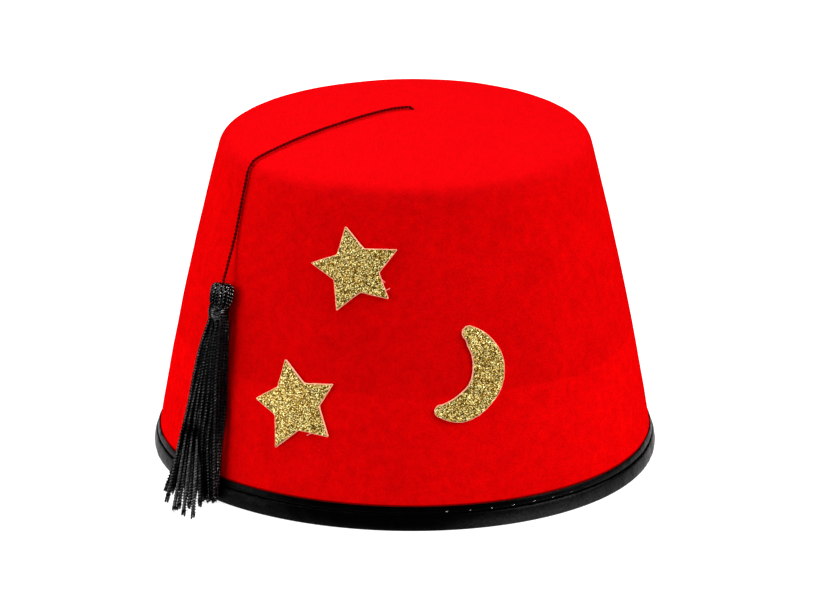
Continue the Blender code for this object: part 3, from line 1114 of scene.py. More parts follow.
@dataclass(frozen=True)
class GlitterSheetFinish:
    """The glitter sheet: coarse gold grains on its face, a bare cream backing at its cut edge."""

    dark: tuple = (0.035, 0.018, 0.001, 1.0)
    gold: tuple = (0.30, 0.18, 0.03, 1.0)
    bright: tuple = (1.0, 0.85, 0.40, 1.0)
    cream: tuple = (1.0, 0.46, 0.29, 1.0)

    def material(self) -> Material:
        """Make the sheet's material.

        Returns:
            The material.
        """
        material, bench, shader = new_finish("gold_glitter_sheet")
        place = bench.place()
        grains = bench.add("ShaderNodeTexVoronoi")
        bench.feed_all(grains, {"Vector": place, "Scale": 2200.0})
        chance = bench.add("ShaderNodeSeparateColor")
        bench.feed(chance.inputs[0], grains.outputs["Color"])
        pick = chance.outputs["Red"]
        shade = bench.mixed(bench.stretched(pick, 0.1, 0.6), self.dark, self.gold)
        shade = bench.mixed(bench.stretched(pick, 0.82, 0.95), shade, self.bright)
        edge = bench.add("ShaderNodeAttribute", attribute_name="cut_edge").outputs["Fac"]
        foam = bench.group(CLOUDY_TONE, Vector=place, Scale=1500.0, Amount=0.25)
        backing = bench.shaded(self.cream[:3], foam.outputs["Shade"])
        finish = {
            "Base Color": bench.mixed(edge, shade, backing),
            "Metallic": bench.stretched(edge, 0.0, 1.0, 0.5, 0.0),
            "Roughness": bench.stretched(edge, 0.0, 1.0, 0.4, 0.9),
            "Specular IOR Level": bench.stretched(edge, 0.0, 1.0, 0.0, 0.15),
            "Normal": bench.bumped(chance.outputs["Green"], 0.2 * MM, 0.8),
        }
        bench.feed_all(shader, finish)
        return material


@dataclass(frozen=True)
class GlitterFlakeFinish:
    """Single glitter grains, each with its own tone from the attribute "grain_tone"."""

    dark: tuple = (0.06, 0.029, 0.001, 1.0)
    gold: tuple = (0.56, 0.34, 0.035, 1.0)
    bright: tuple = (1.0, 0.9, 0.38, 1.0)
    glint: tuple = (1.0, 0.75, 0.25, 1.0)
    amber: tuple = (1.0, 0.78, 0.5, 1.0)

    def material(self) -> Material:
        """Make the grains' material.

        Returns:
            The material.
        """
        material, bench, shader = new_finish("gold_glitter_grains")
        place = bench.place()
        pick = bench.add("ShaderNodeAttribute", attribute_name="grain_tone").outputs["Fac"]
        shade = bench.mixed(bench.stretched(pick, 0.3, 0.5), self.dark, self.gold)
        shade = bench.mixed(bench.stretched(pick, 0.52, 0.7), shade, self.bright)
        warm = bench.stretched(bench.noise(place, 330.0, 3.0, 0.7), 0.42, 0.7)
        shade = bench.mixed(warm, shade, self.amber, "MULTIPLY")
        scuffs = bench.group(CLOUDY_TONE, Vector=place, Scale=4000.0, Amount=0.2)
        finish = {
            "Base Color": bench.shaded(shade, scuffs.outputs["Shade"]),
            "Metallic": 0.4,
            "Roughness": bench.stretched(pick, 0.0, 1.0, 0.5, 0.25),
            "Specular IOR Level": 0.35,
            "Specular Tint": self.glint,
        }
        bench.feed_all(shader, finish)
        return material


@dataclass(frozen=True)
class BackingFibreFinish:
    """Pale fibres that the cutting has pulled out of the glitter sheet's backing."""

    colour: tuple = (0.95, 0.30, 0.25)

    def material(self) -> Material:
        """Make the fibres' material.

        Returns:
            The material.
        """
        material, bench, shader = new_finish("pale_backing_fibre")
        tone = bench.group(CLOUDY_TONE, Vector=bench.place(), Scale=900.0, Amount=0.3)
        shade = bench.shaded(self.colour, tone.outputs["Shade"])
        bench.feed_all(shader, {"Base Color": shade, "Roughness": 0.8})
        return material


# --- Sub-assemblies -------------------------------------------------------------------------------


@dataclass(frozen=True)
class CordHole:
    """The small leaning hole in the crown's top, and the bend by which the cord dives into it."""

    x: float = 2.3 * MM
    y: float = 0.2 * MM
    radius: float = 0.74 * MM
    lean: float = math.radians(20.0)
    shift: float = 0.10 * MM
    way: float = math.radians(-163.1)
    lift: float = 0.95 * MM
    bend: float = 2.7 * MM

    def over(self, height: float, along: float = 0.0) -> Vector:
        """Find a point near the hole's mouth.

        Args:
            height: Height over the felt's outside.
            along: Distance from the mouth in the way that the cord leaves it.

        Returns:
            The point on the finished hat.
        """
        x = self.x + along * math.cos(self.way)
        y = self.y + along * math.sin(self.way)
        return FORM.settled(Vector((x, y, FORM.top_height(math.hypot(x, y)) + height)))

    def cord_bend(self, turn: float) -> Vector:
        """Find a point of the cord's bend into the hole.

        Args:
            turn: How far the cord has bent there: 0 lies flat and a right angle goes straight down.

        Returns:
            The point on the cord's middle line.
        """
        mouth_turn = math.acos(1.0 - self.lift / self.bend)
        height = self.lift - self.bend * (1.0 - math.cos(turn))
        return self.over(height, self.bend * (math.sin(mouth_turn) - math.sin(turn)))


@dataclass
class FeltCrown:
    """The moulded felt shell, with a small dimpled hole in its top for the cord."""

    hole: CordHole = CordHole()
    felt: float = 2.0 * MM
    lower_edge: float = 1.3 * MM
    steps: int = 300
    dimple_depth: float = 0.12 * MM
    dimple_width: float = 1.7 * MM
    unevenness: float = 0.10 * MM
    swell_size: float = 14.0 * MM

    def build(self, material: Material) -> Piece:
        """Build the shell.

        Args:
            material: The felt.

        Returns:
            The finished crown.
        """
        outer = FORM.outline(60, 16, 84, self.lower_edge)
        inner = FORM.inset(FORM.outline(30, 8, 42, self.lower_edge), self.felt)
        shape = spun(outer + inner[::-1], self.steps)
        self.shape_surface(shape)
        crown = finished("felt_crown", shape, material)
        self.punch_hole(crown)
        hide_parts("crown")
        return crown

    def shape_surface(self, shape: Shape) -> None:
        """Put the felt's faint unevenness and the hole's dimple into the shell, and settle it.

        Args:
            shape: The round shell.
        """
        shape.normal_update()
        mouth = Vector((self.hole.x, self.hole.y))
        for vert in shape.verts:
            place = vert.co / self.swell_size
            swell = noise.noise(place) + 0.5 * noise.noise(place * 3.1)
            moved = vert.co + vert.normal * swell * self.unevenness
            near = (Vector((vert.co.x, vert.co.y)) - mouth).length / self.dimple_width
            if vert.co.z > FORM.height and near < 3.0:
                moved.z -= self.dimple_depth * math.exp(-near * near)
            vert.co = FORM.settled(moved)

    def punch_hole(self, crown: Piece) -> None:
        """Cut the cord's hole through the top.

        Args:
            crown: The crown without its hole.
        """
        hole = self.hole
        middle = hole.over(-self.felt / 2.0, hole.shift - math.tan(hole.lean) * self.felt / 2.0)
        axis = Vector((-math.sin(hole.way), math.cos(hole.way), 0.0))
        punch = bmesh.new()
        bmesh.ops.create_cone(
            punch,
            cap_ends=True,
            segments=16,
            radius1=hole.radius,
            radius2=hole.radius,
            depth=4.0 * self.felt,
            matrix=Matrix.Translation(middle) @ Matrix.Rotation(hole.lean, 4, axis),
        )
        mesh = bpy.data.meshes.new("hole_punch")
        punch.to_mesh(mesh)
        punch.free()
        cutter = bpy.data.objects.new("hole_punch", mesh)
        bpy.context.scene.collection.objects.link(cutter)
        cut = crown.modifiers.new("cord_hole", "BOOLEAN")
        cut.operation = "DIFFERENCE"
        cut.solver = "EXACT"
        cut.object = cutter
        bpy.context.view_layer.update()
        graph = bpy.context.evaluated_depsgraph_get()
        whole = crown.data
        crown.data = bpy.data.meshes.new_from_object(crown.evaluated_get(graph))
        crown.data.name = crown.name
        crown.modifiers.remove(cut)
        bpy.data.meshes.remove(whole)
        bpy.data.objects.remove(cutter, do_unlink=True)


@dataclass
class SatinBinding:
    """The satin tape folded over the crown's lower edge, with its two rows of stitches."""

    steps: int = 540
    tape: float = 1.0 * MM
    height: float = 9.4 * MM
    inner_height: float = 8.8 * MM
    inner_gap: float = 2.35 * MM
    seam_height: float = 6.8 * MM
    wrinkle: float = 0.16 * MM
    stitch_pitch: float = 4.3 * MM
    stitch_radius: float = 0.22 * MM
    stitch_turn: float = 1.1 * MM  # length of one full turn of the sewing thread's plies
    stitch_stand: float = 0.34 * MM
    stitch_reach: float = 0.40  # half a stitch, as a share of the way to the next one
    # Painted glints: every second stitch stands out only on the front right, where the glints fall,
    # in a lighter, glossier thread.
    raised_stand: float = 1.08 * MM  # every second stitch stands out on the front right
    raised_reach: float = 0.09
    raised_height: float = 7.6 * MM
    raised_from: float = math.radians(276.0)
    raised_to: float = math.radians(311.0)
    lap_bearing: float = math.radians(93.0)
    lap_length: float = 11.0 * MM
    lap_rise: float = 0.28 * MM

    # Height in mm of each row, and how far in mm it stands out: the outer face from the felt, from
    # the fold upwards, and the inner face from its middle, from its top edge down to the fold.
    outer_rows: tuple = (
        *((0.0, -0.4), (0.25, 0.15), (0.7, 0.6), (1.4, 0.95), (2.4, 1.22), (3.5, 1.32)),
        *((4.7, 1.3), (5.8, 1.18), (6.4, 0.94), (6.6, 0.54), (6.8, 0.44), (7.0, 0.5)),
        *((7.2, 0.68), (7.6, 0.76), (8.2, 0.72), (8.7, 0.66), (9.1, 0.55), (9.4, 0.4)),
    )
    inner_rows: tuple = (
        *((8.8, -0.25), (8.4, 0.0), (7.7, 0.05), (7.1, -0.12), (6.8, -0.3), (6.5, -0.12)),
        *((5.5, 0.08), (3.0, 0.1), (1.6, 0.0), (0.8, -0.1), (0.25, -0.35), (0.0, -0.75)),
    )

    @staticmethod
    def beside(height: float, stand: float) -> Vector:
        """A profile point (radius, height) that stands this far out from the felt's side."""
        return Vector((FORM.side_radius(height) + stand, height))

    def build(self, material: Material) -> Piece:
        """Build the folded tape.

        Args:
            material: The satin.

        Returns:
            The finished tape.
        """
        outer = [self.beside(level * MM, stand * MM) for level, stand in self.outer_rows]
        groove = [
            self.beside(self.height, GAP),
            self.beside(self.tape, GAP),
            self.beside(self.tape, -self.inner_gap),
            self.beside(self.inner_height, -self.inner_gap),
        ]
        inside = self.inner_gap + self.tape
        inner = [self.beside(level * MM, -inside - stand * MM) for level, stand in self.inner_rows]
        shape = spun(smooth_line(outer, 2) + groove + inner, self.steps)
        unroll_around(shape, FORM.base_radius)
        self.wrinkle_tape(shape)
        tape = finished("satin_binding", shape, material, 60.0)
        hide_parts("binding")
        return tape

    def wrinkle_tape(self, shape: Shape) -> None:
        """Pucker the tape along its seam, lap its ends at the back, and settle it.

        Args:
            shape: The round tape.
        """
        shape.normal_update()
        for vert in shape.verts:
            radius = math.hypot(vert.co.x, vert.co.y)
            bearing = math.atan2(vert.co.y, vert.co.x)
            height = vert.co.z
            around = bearing * FORM.base_radius
            faces_out = radius > FORM.side_radius(height) + 0.45 * MM
            faces_in = radius < FORM.side_radius(height) - self.inner_gap - 0.4 * MM
            if not (faces_out or faces_in) or height < 0.2 * MM:
                vert.co = FORM.settled(vert.co)
                continue
            place = Vector((around / (5.5 * MM), height / (14.0 * MM), 3.0 if faces_in else 0.0))
            place = place + Vector((0.35 * height / MM / 5.5, 0.0, 0.0))
            fold = noise.noise(place) + 0.45 * noise.noise(place * 2.3)
            hold = min(abs(height - self.seam_height) / (2.2 * MM), 1.0)
            lap = smooth_step(self.lap_share(bearing, height), 0.0, 1.0) * self.lap_rise
            shift = vert.normal * (fold * self.wrinkle * (0.35 + 0.65 * hold) + lap)
            vert.co = FORM.settled(vert.co + Vector((shift.x, shift.y, 0.0)))

    def lap_share(self, bearing: float, height: float) -> float:
        """How far a place lies on the tape's lapped end at the back.

        Args:
            bearing: Bearing of the place.
            height: Height of the place.

        Returns:
            0 beside the lap, 1 on it.
        """
        along = (bearing - self.lap_bearing) * FORM.base_radius + 0.25 * height
        start = min(max(along / (0.6 * MM), 0.0), 1.0)
        end = min(max((self.lap_length - along) / (4.0 * MM), 0.0), 1.0)
        return start * end

    def stitches(self, name: str, material: Material, raised: bool) -> Piece:
        """Sew either the stitches that stand out over the seam, or all the others.

        Args:
            name: The piece's name.
            material: The sewing thread.
            raised: Whether to sew the stitches that stand out, and not the row inside and the
                rest of the row outside.

        Returns:
            The stitches as one piece.
        """
        count =2 * round(math.pi * FORM.base_radius / self.stitch_pitch)
        draw = Random(11)
        lines = []
        inside = -self.inner_gap - self.tape + 0.2 * MM
        for index in range(count):
            bearing = 2.0 * math.pi * index / count
            proud = index % 2 == 0 and self.raised_from <= bearing <= self.raised_to
            rows = []
            if raised and proud:
                rows.append((self.raised_stand, self.raised_reach, self.raised_height))
            if not raised:
                rows.append((inside, self.stitch_reach, self.seam_height))
            if not (raised or proud):
                rows.append((self.stitch_stand, self.stitch_reach, self.seam_height))
            for stand, reach, level in rows:
                middle = 2.0 * math.pi * (index + 0.12 * draw.random()) / count
                half = reach * 2.0 * math.pi / count
                rise = draw.uniform(-0.12, 0.12) * MM
                points = []
                for step in range(7):
                    t = step / 3.0 - 1.0
                    dip = 0.35 * MM * t**4
                    stand_out = stand - dip if stand > 0.0 else stand + dip
                    height = level + rise * t
                    radius = FORM.side_radius(height) + stand_out
                    points.append(FORM.settled(polar(radius, middle + half * t, height)))
                lines.append((points, [self.stitch_radius] * len(points)))
        maker = ThreadMaker(sides=8)
        row = maker.piece(name, lines, Twist.TWO_PLY, self.stitch_turn, material)
        return row


@dataclass
class TasselPlace:
    """Where the tassel hangs, and places measured on it."""

    bearing: float = math.radians(-142.6)
    head_radius: float = 4.35 * MM
    head_top: float = 81.6 * MM
    neck_end: float = 13.2 * MM

    @property
    def down(self) -> Vector:
        """Direction in which the tassel hangs, along the leaning side."""
        lean = FORM.side_lean(self.head_top - self.neck_end / 2.0)
        return polar(math.sin(lean), self.bearing, -math.cos(lean))

    def on_axis(self, down: float) -> Vector:
        """A point on the tassel's axis, this far down from the head's top."""
        top = FORM.over_side(self.head_top, self.bearing, self.head_radius + GAP)
        return top + self.down * down

    def around(self, radius: float, turn: float, down: float) -> Vector:
        """A point at a radius and a turn around the tassel's axis.

        Args:
            radius: Distance from the axis.
            turn: Turn around it; 0 points away from the crown.
            down: Distance down from the head's top.

        Returns:
            The point on the finished hat.
        """
        side = Vector((-math.sin(self.bearing), math.cos(self.bearing), 0.0))
        out = side.cross(self.down)
        if out.dot(polar(1.0, self.bearing, 0.0)) < 0.0:
            out.negate()
        return self.on_axis(down) + radius * (math.cos(turn) * out + math.sin(turn) * side)


@dataclass
class HangingCord:
    """The thin cord from the knot inside the crown, over the top and down to the tassel."""

    crown: FeltCrown
    place: TasselPlace
    diameter: float = 1.3 * MM
    pitch: float = 3.0 * MM
    spacing: float = 0.22 * MM
    knot_scale: float = 0.52 * MM
    knot_steps: int = 60

    route: tuple = (
        RoutePoint(5.0, -158.0, 0.95),
        RoutePoint(8.0, -154.5, 0.95),
        RoutePoint(12.0, -152.3, 0.95),
        RoutePoint(20.0, -149.3, 0.95),
        RoutePoint(29.0, -147.8, 0.95),
        RoutePoint(38.0, -147.3, 0.95),
        RoutePoint(47.0, -146.9, 0.95),
        RoutePoint(56.0, -146.3, 0.95),
        RoutePoint(64.0, -145.8, 0.95),
        RoutePoint(68.5, -145.3, 0.95),
        RoutePoint(71.0, -145.0, 0.95),
        RoutePoint(73.5, -144.9, 0.95),
        RoutePoint(77.0, -144.8, 0.95),
        RoutePoint(84.0, -144.8, 0.95),
        RoutePoint(91.0, -144.7, 0.95),
        RoutePoint(97.0, -144.5, 1.1),
        RoutePoint(102.0, -144.2, 1.7),
        RoutePoint(107.0, -143.7, 2.7),
        RoutePoint(111.5, -143.1, 3.7),
    )

    def line(self) -> list[Vector]:
        """Lay the cord's middle line, from under the hole to the tassel's head.

        Returns:
            Points along the line.
        """
        hole = self.crown.hole
        bend = [hole.cord_bend(math.radians(turn)) for turn in (90.0, 70.0, 50.0, 30.0, 12.0, 0.0)]
        rise = Vector((bend[0].x, bend[0].y, hole.over(-self.crown.felt).z))
        laid = [
            FORM.over_felt(point.run * MM, math.radians(point.bearing), point.lift * MM)
            for point in self.route
        ]
        end = [self.place.on_axis(-2.0 * MM), self.place.on_axis(-GAP)]
        return smooth_line([rise, *bend, *laid, *end], 8)

    def laid(self, name: str, points: list[Vector], material: Material) -> Piece:
        """Twist a length of the cord along points.

        Args:
            name: The piece's name.
            points: Points at an even spacing.
            material: The cord's thread.

        Returns:
            The finished piece.
        """
        radii = [self.diameter / 2.0] * len(points)
        maker = ThreadMaker(sides=12)
        return maker.piece(name, [(points, radii)], Twist.TWO_PLY, self.pitch, material)

    def build(self, material: Material) -> Piece:
        """Lay the cord and tie its knot.

        Args:
            material: The cord's thread.

        Returns:
            The finished cord.
        """
        line = self.line()
        path = evenly_spaced(line, 1.3 * MM)
        points = evenly_spaced(line + [self.place.on_axis(0.8 * MM)], self.spacing)
        cord = self.laid("hanging_cord", points, material)
        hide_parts("cord")
        knot = self.tie_knot(material)
        self.crown.hole.over(0.0)
        return cord

    def knot_point(self, middle: Vector, step: int) -> Vector:
        """Find a point of the knot's three crossing loops.

        Args:
            middle: The knot's middle.
            step: Step round the knot.

        Returns:
            The point on the cord's middle line.
        """
        t = 2.0 * math.pi * step / self.knot_steps + 0.5
        across = math.sin(t) + 2.0 * math.sin(2.0 * t)
        along = math.cos(t) - 2.0 * math.cos(2.0 * t)
        rise = Vector((0.0, 0.0, -0.95 * MM * math.sin(3.0 * t)))
        return middle + self.knot_scale * Vector((across, along, 0.0)) + rise

    def tie_knot(self, material: Material) -> Piece:
        """Tie the small knot that holds the cord inside the crown.

        Args:
            material: The cord's thread.

        Returns:
            The finished knot with its short tail.
        """
        hole = self.crown.hole
        above = hole.cord_bend(math.pi / 2.0)
        middle = Vector((above.x, above.y, hole.over(-self.crown.felt - GAP - 1.7 * MM).z))
        loops = []
        for step in range(0, self.knot_steps, 4):
            loops.append(self.knot_point(middle, step))
        last = self.knot_point(middle, self.knot_steps - 1)
        ways = ((0.6, 0.5, -1.6), (1.1, 0.2, -4.2), (0.9, -0.4, -7.0))
        tail = [last + Vector(way) * MM for way in ways]
        stem = [middle + Vector(way) * MM for way in ((0.0, 0.0, 2.3), (0.2, 0.0, 1.3))]
        points = evenly_spaced(smooth_line(stem + loops + tail, 6), self.spacing)
        knot = self.laid("inside_knot", points, material)
        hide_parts("cord_knot")
        return knot


@dataclass
class Tassel:
    """Head of folded strands, thread wound round the neck, and a skirt of twisted strands."""

    place: TasselPlace
    strand_radius: float = 1.05 * MM
    strand_pitch: float = 2.4 * MM
    strand_step: float = 0.36  # distance in mm from one point of a strand to the next
    front_neck: float = 0.84  # thickness of a strand under the winding, as a share
    tucked_neck: float = 0.6  # the same for every second strand, which lies further back
    tuck: float = 0.9  # how far in mm it lies back
    columns: int = 7
    layers: int = 4
    ribs: int = 17
    rib_pitch: float = 2.6 * MM
    wrap_turns: int = 6
    wrap_steps: int = 46
    wrap_thread: float = 0.38 * MM
    wrap_radius: float = 3.25 * MM
    wrap_growth: float = 0.42 * MM  # how much further out the turns lie on the way back up
    wrap_pitch: float = 2.0 * MM
    ply_pitch: float = 2.2 * MM
    hair_radius: float = 0.065 * MM

    # Distance from the axis and distance below the head's top, in mm.
    core_rows: tuple = (
        *((0.0, 0.9), (2.4, 1.3), (3.1, 2.4), (3.2, 6.8)),
        *((2.6, 8.4), (2.4, 13.0), (1.5, 15.5), (0.0, 19.0)),
    )
    rib_rows: tuple = (
        *((0.45, 2.6), (0.75, 1.1), (1.5, 0.7), (2.6, 0.75), (3.45, 1.25), (3.76, 2.3)),
        *((3.78, 4.4), (3.7, 6.2), (3.4, 7.5), (2.85, 8.6), (2.5, 10.0), (2.5, 13.4)),
    )

    sections: tuple = (
        SkirtSection(72.5, -73.2, -66.5, 4.4, 4.65),
        SkirtSection(69.0, -74.1, -65.7, 5.0, 4.65),
        SkirtSection(66.0, -74.9, -65.5, 5.6, 4.5),
        SkirtSection(57.0, -77.8, -65.9, 6.4, 4.4),
        SkirtSection(45.5, -80.3, -66.6, 6.4, 4.2),
        SkirtSection(34.0, -82.9, -67.2, 6.0, 4.0),
        SkirtSection(22.0, -85.6, -68.3, 5.6, 4.0),
    )

    # The outermost layer first, each layer from the left to the right.
    ends: tuple = (
        StrandEnd(0, 0, -90.0, -70.3),
        StrandEnd(1, 0, -86.8, -79.6),
        StrandEnd(2, 0, -83.0, -84.7),
        StrandEnd(3, 0, -79.3, -87.0),
        StrandEnd(4, 0, -76.7, -71.4),
        StrandEnd(5, 0, -74.3, -70.8),
        StrandEnd(6, 0, -72.3, -71.4),
        StrandEnd(0, 1, -91.2, -60.2),
        StrandEnd(1, 1, -85.1, -79.1),
        StrandEnd(2, 1, -81.2, -77.6),
        StrandEnd(3, 1, -77.1, -76.4),
        StrandEnd(4, 1, -75.8, -69.6),
        StrandEnd(5, 1, -73.3, -69.8),
        StrandEnd(6, 1, -71.5, -68.2, 4.5),
        StrandEnd(0, 2, -89.4, -62.5),
        StrandEnd(1, 2, -83.1, -70.6),
        StrandEnd(2, 2, -81.1, -67.6),
        StrandEnd(3, 2, -79.9, -68.6),
        StrandEnd(4, 2, -75.3, -67.6),
        StrandEnd(5, 2, -73.9, -68.4),
        StrandEnd(6, 2, -72.0, -69.0, 5.0),
        StrandEnd(0, 3, -88.5, -61.5),
        StrandEnd(1, 3, -86.6, -60.5),
        StrandEnd(2, 3, -84.1, -58.5),
        StrandEnd(3, 3, -76.3, -66.0),
        StrandEnd(4, 3, -74.5, -66.0, 3.5),
        StrandEnd(5, 3, -73.2, -67.0, 5.0),
        StrandEnd(6, 3, -71.6, -69.4),
    )

    def build(self, material: Material, folded: Material) -> None:
        """Build the head, the winding and the skirt.

        Args:
            material: The tassel's thread.
            folded: The same thread where it is folded over the head, with a painted highlight near
                its top.
        """
        head = self.head(folded)
        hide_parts("tassel")
        wrap = self.winding(material)
        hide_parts("tassel_wrap")
        outer = [end for end in self.ends if end.layer < self.layers // 2]
        inner = [end for end in self.ends if end.layer >= self.layers // 2]
        strands = [self.skirt("tassel_strands_outer", outer, material, 5)]
        strands.append(self.skirt("tassel_strands_inner", inner, material, 6))

    def head(self, material: Material) -> Piece:
        """Fold the strands over the head's top, round a plain core.

        Args:
            material: The tassel's thread.

        Returns:
            The finished head.
        """
        core = spun([Vector((radius * MM, -down * MM)) for radius, down in self.core_rows], 32)
        turn = Vector((0.0, 0.0, -1.0)).rotation_difference(self.place.down)
        matrix = Matrix.Translation(self.place.on_axis(0.0)) @ turn.to_matrix().to_4x4()
        bmesh.ops.transform(core, matrix=matrix, verts=core.verts)
        draw = Random(3)
        lines = []
        for rib in range(self.ribs):
            turn = 2.0 * math.pi * (rib + draw.uniform(-0.14, 0.14)) / self.ribs
            swell = draw.uniform(-0.12, 0.10)
            slant = draw.uniform(-0.10, 0.10)
            points = []
            for radius, down in self.rib_rows:
                angle = turn + slant * (down - 5.0) / 8.0
                reach = (radius + swell * min(radius, 1.0)) * MM
                points.append(self.place.around(reach, angle, down * MM))
            line = evenly_spaced(smooth_line(points, 8), 0.22 * MM)
            radii = []
            for index in range(len(line)):
                share = index / (len(line) - 1)
                radii.append((0.45 + 0.32 * smooth_step(share, 0.0, 0.28)) * MM)
            lines.append((line, radii))
        ThreadMaker(sides=10).lay(core, lines, Twist.TWO_PLY, self.rib_pitch)
        ThreadMaker.closed(core)
        return finished("tassel_head", core, material, 80.0)

    def winding(self, material: Material) -> Piece:
        """Wind the neck with thread, down and back up, so that the turns cross.

        Args:
            material: The tassel's thread.

        Returns:
            The finished winding.
        """
        points = []
        total = 2 * self.wrap_turns * self.wrap_steps
        for step in range(total + 1):
            turn = 2.0 * math.pi * step / self.wrap_steps
            share = step / total
            there = 1.0 - abs(2.0 * share - 1.0)
            radius = self.wrap_radius + self.wrap_growth * smooth_step(share, 0.4, 0.6)
            radius += 0.12 * MM * math.sin(turn * 0.83)
            waver = 0.24 * math.sin(turn * 1.37) + 0.22 * math.sin(turn * 0.61 + 1.0)
            down = (8.7 + 4.3 * there + waver * (0.3 + 0.7 * math.sin(math.pi * there))) * MM
            points.append(self.place.around(radius, turn, down))
        line = evenly_spaced(points, 0.18 * MM)
        lines = [(line, [self.wrap_thread] * len(line))]
        maker = ThreadMaker(sides=8)
        return maker.piece("tassel_winding", lines, Twist.TWO_PLY, self.wrap_pitch, material)

    def strand_line(self, end: StrandEnd, draw: Random) -> list[Vector]:
        """Lead one strand from the neck down to its tip.

        Args:
            end: The strand's place and tip.
            draw: Source of its small wanderings.

        Returns:
            Points along the strand's middle.
        """
        points = []
        phase = draw.uniform(0.0, 2.0 * math.pi)
        column = end.column / (self.columns - 1)
        layer = end.layer / (self.layers - 1)
        radius = self.strand_radius / MM
        for level, section in enumerate(self.sections):
            loose = smooth_step(72.0 - section.height, 4.0, 30.0)
            room = section.right - section.left - 2.0 * radius
            depth = section.thickness - 2.0 * radius
            slant = min(0.8, -math.cos(self.place.bearing) * depth / room)
            share = column * (1.0 - slant) + layer * slant
            x = section.left + radius + share * room + 0.25 * loose * math.sin(phase + 1.9 * level)
            lift = section.lift + depth * (0.5 - layer)
            lift += 0.3 * loose * math.cos(phase + 1.3 * level)
            lift -= self.tuck * (end.column % 2) * (1.0 - loose)
            points.append(self.beside_felt(x * MM, section.height * MM, max(lift, 1.15) * MM))
        tip = Vector((end.tip_x, end.tip_y, end.tip_z)) * MM
        landing = points[-1].lerp(tip, 0.6)
        landing.z -= 0.7 * MM
        return points + [landing, tip]

    def beside_felt(self, x: float, height: float, lift: float) -> Vector:
        """Find the point this far out from the felt's side that has a given x.

        Args:
            x: The point's x.
            height: Height of the felt behind it.
            lift: Distance from the felt.

        Returns:
            The point on the finished hat.
        """
        bearing = self.place.bearing
        for _ in range(4):
            error = x - FORM.over_side(height, bearing, lift).x
            bearing -= error / (math.sin(bearing) * FORM.side_radius(height))
        return FORM.over_side(height, bearing, lift)

    def skirt(
        self,
        name: str,
        ends: list[StrandEnd],
        material: Material,
        seed: int,
    ) -> Piece:
        """Hang some of the skirt's strands, each with a frayed tip.

        Args:
            name: The piece's name.
            ends: The strands' places and tips.
            material: The tassel's thread.
            seed: Start of the random draws.

        Returns:
            The strands as one piece.
        """
        draw = Random(seed)
        strands = []
        plies = []
        hairs = []
        for end in ends:
            spacing = self.strand_step * MM
            line = evenly_spaced(smooth_line(self.strand_line(end, draw), 8), spacing)
            frayed = round(draw.uniform(1.2, 2.6) * MM / spacing)
            body = line[:-frayed]
            slim = self.tucked_neck if end.column % 2 else self.front_neck
            radii = []
            for index in range(len(body)):
                full = smooth_step(index * self.strand_step, 4.0, 22.0)
                radii.append(self.strand_radius * (slim + (1.0 - slim) * full))
            strands.append((body, radii))
            self.fray(line, frayed, plies, hairs, draw)
        shape = bmesh.new()
        ThreadMaker(sides=10).lay(shape, strands, Twist.TWO_PLY, self.strand_pitch)
        ThreadMaker(sides=8).lay(shape, plies, Twist.THREE_PLY, self.ply_pitch)
        ThreadMaker(sides=4).lay(shape, hairs, Twist.SINGLE, LOOSE_PITCH)
        ThreadMaker.closed(shape)
        return finished(name, shape, material, 80.0)

    def fray(
        self,
        line: list[Vector],
        frayed: int,
        plies: Threads,
        hairs: Threads,
        draw: Random,
    ) -> None:
        """Part the two plies at a strand's tip and pull a few fibres out.

        Args:
            line: The whole strand's points.
            frayed: How many of the last points are parted.
            plies: Gains the two plies.
            hairs: Gains the fibres.
            draw: Source of the random draws.
        """
        start = line[-frayed - 4]
        tip = line[-1]
        along = (tip - start).normalized()
        side = along.cross(Vector((0.0, 0.0, 1.0))).normalized()
        part = draw.uniform(0.1, 0.65) * MM
        for way in (-1.0, 1.0):
            reach = draw.uniform(0.75, 1.2)
            middle = start.lerp(tip, 0.5) + way * 0.42 * MM * side
            last = start.lerp(tip, reach) + way * part * side
            middle.z = max(middle.z, 0.85 * MM)
            last.z = max(last.z, 0.8 * MM)
            first = start + way * 0.36 * MM * side
            points = evenly_spaced(smooth_line([first, middle, last], 8), 0.3 * MM)
            count = len(points) - 1
            radii = [0.66 * MM * (1.0 - 0.35 * (index / count) ** 3) for index in range(count + 1)]
            plies.append((points, radii))
        for _ in range(4):
            root = start.lerp(tip, draw.uniform(0.55, 0.95))
            reach = along * draw.uniform(0.6, 1.8) + side * draw.uniform(-0.8, 0.8)
            hair_tip = root + reach * MM + Vector((0.0, 0.0, draw.uniform(-0.4, 0.8) * MM))
            hair_tip.z = max(hair_tip.z, 0.35 * MM)
            bend = root.lerp(hair_tip, 0.5) + side * draw.uniform(-0.3, 0.3) * MM
            points = smooth_line([root, bend, hair_tip], 3)
            hairs.append((points, [self.hair_radius] * len(points)))


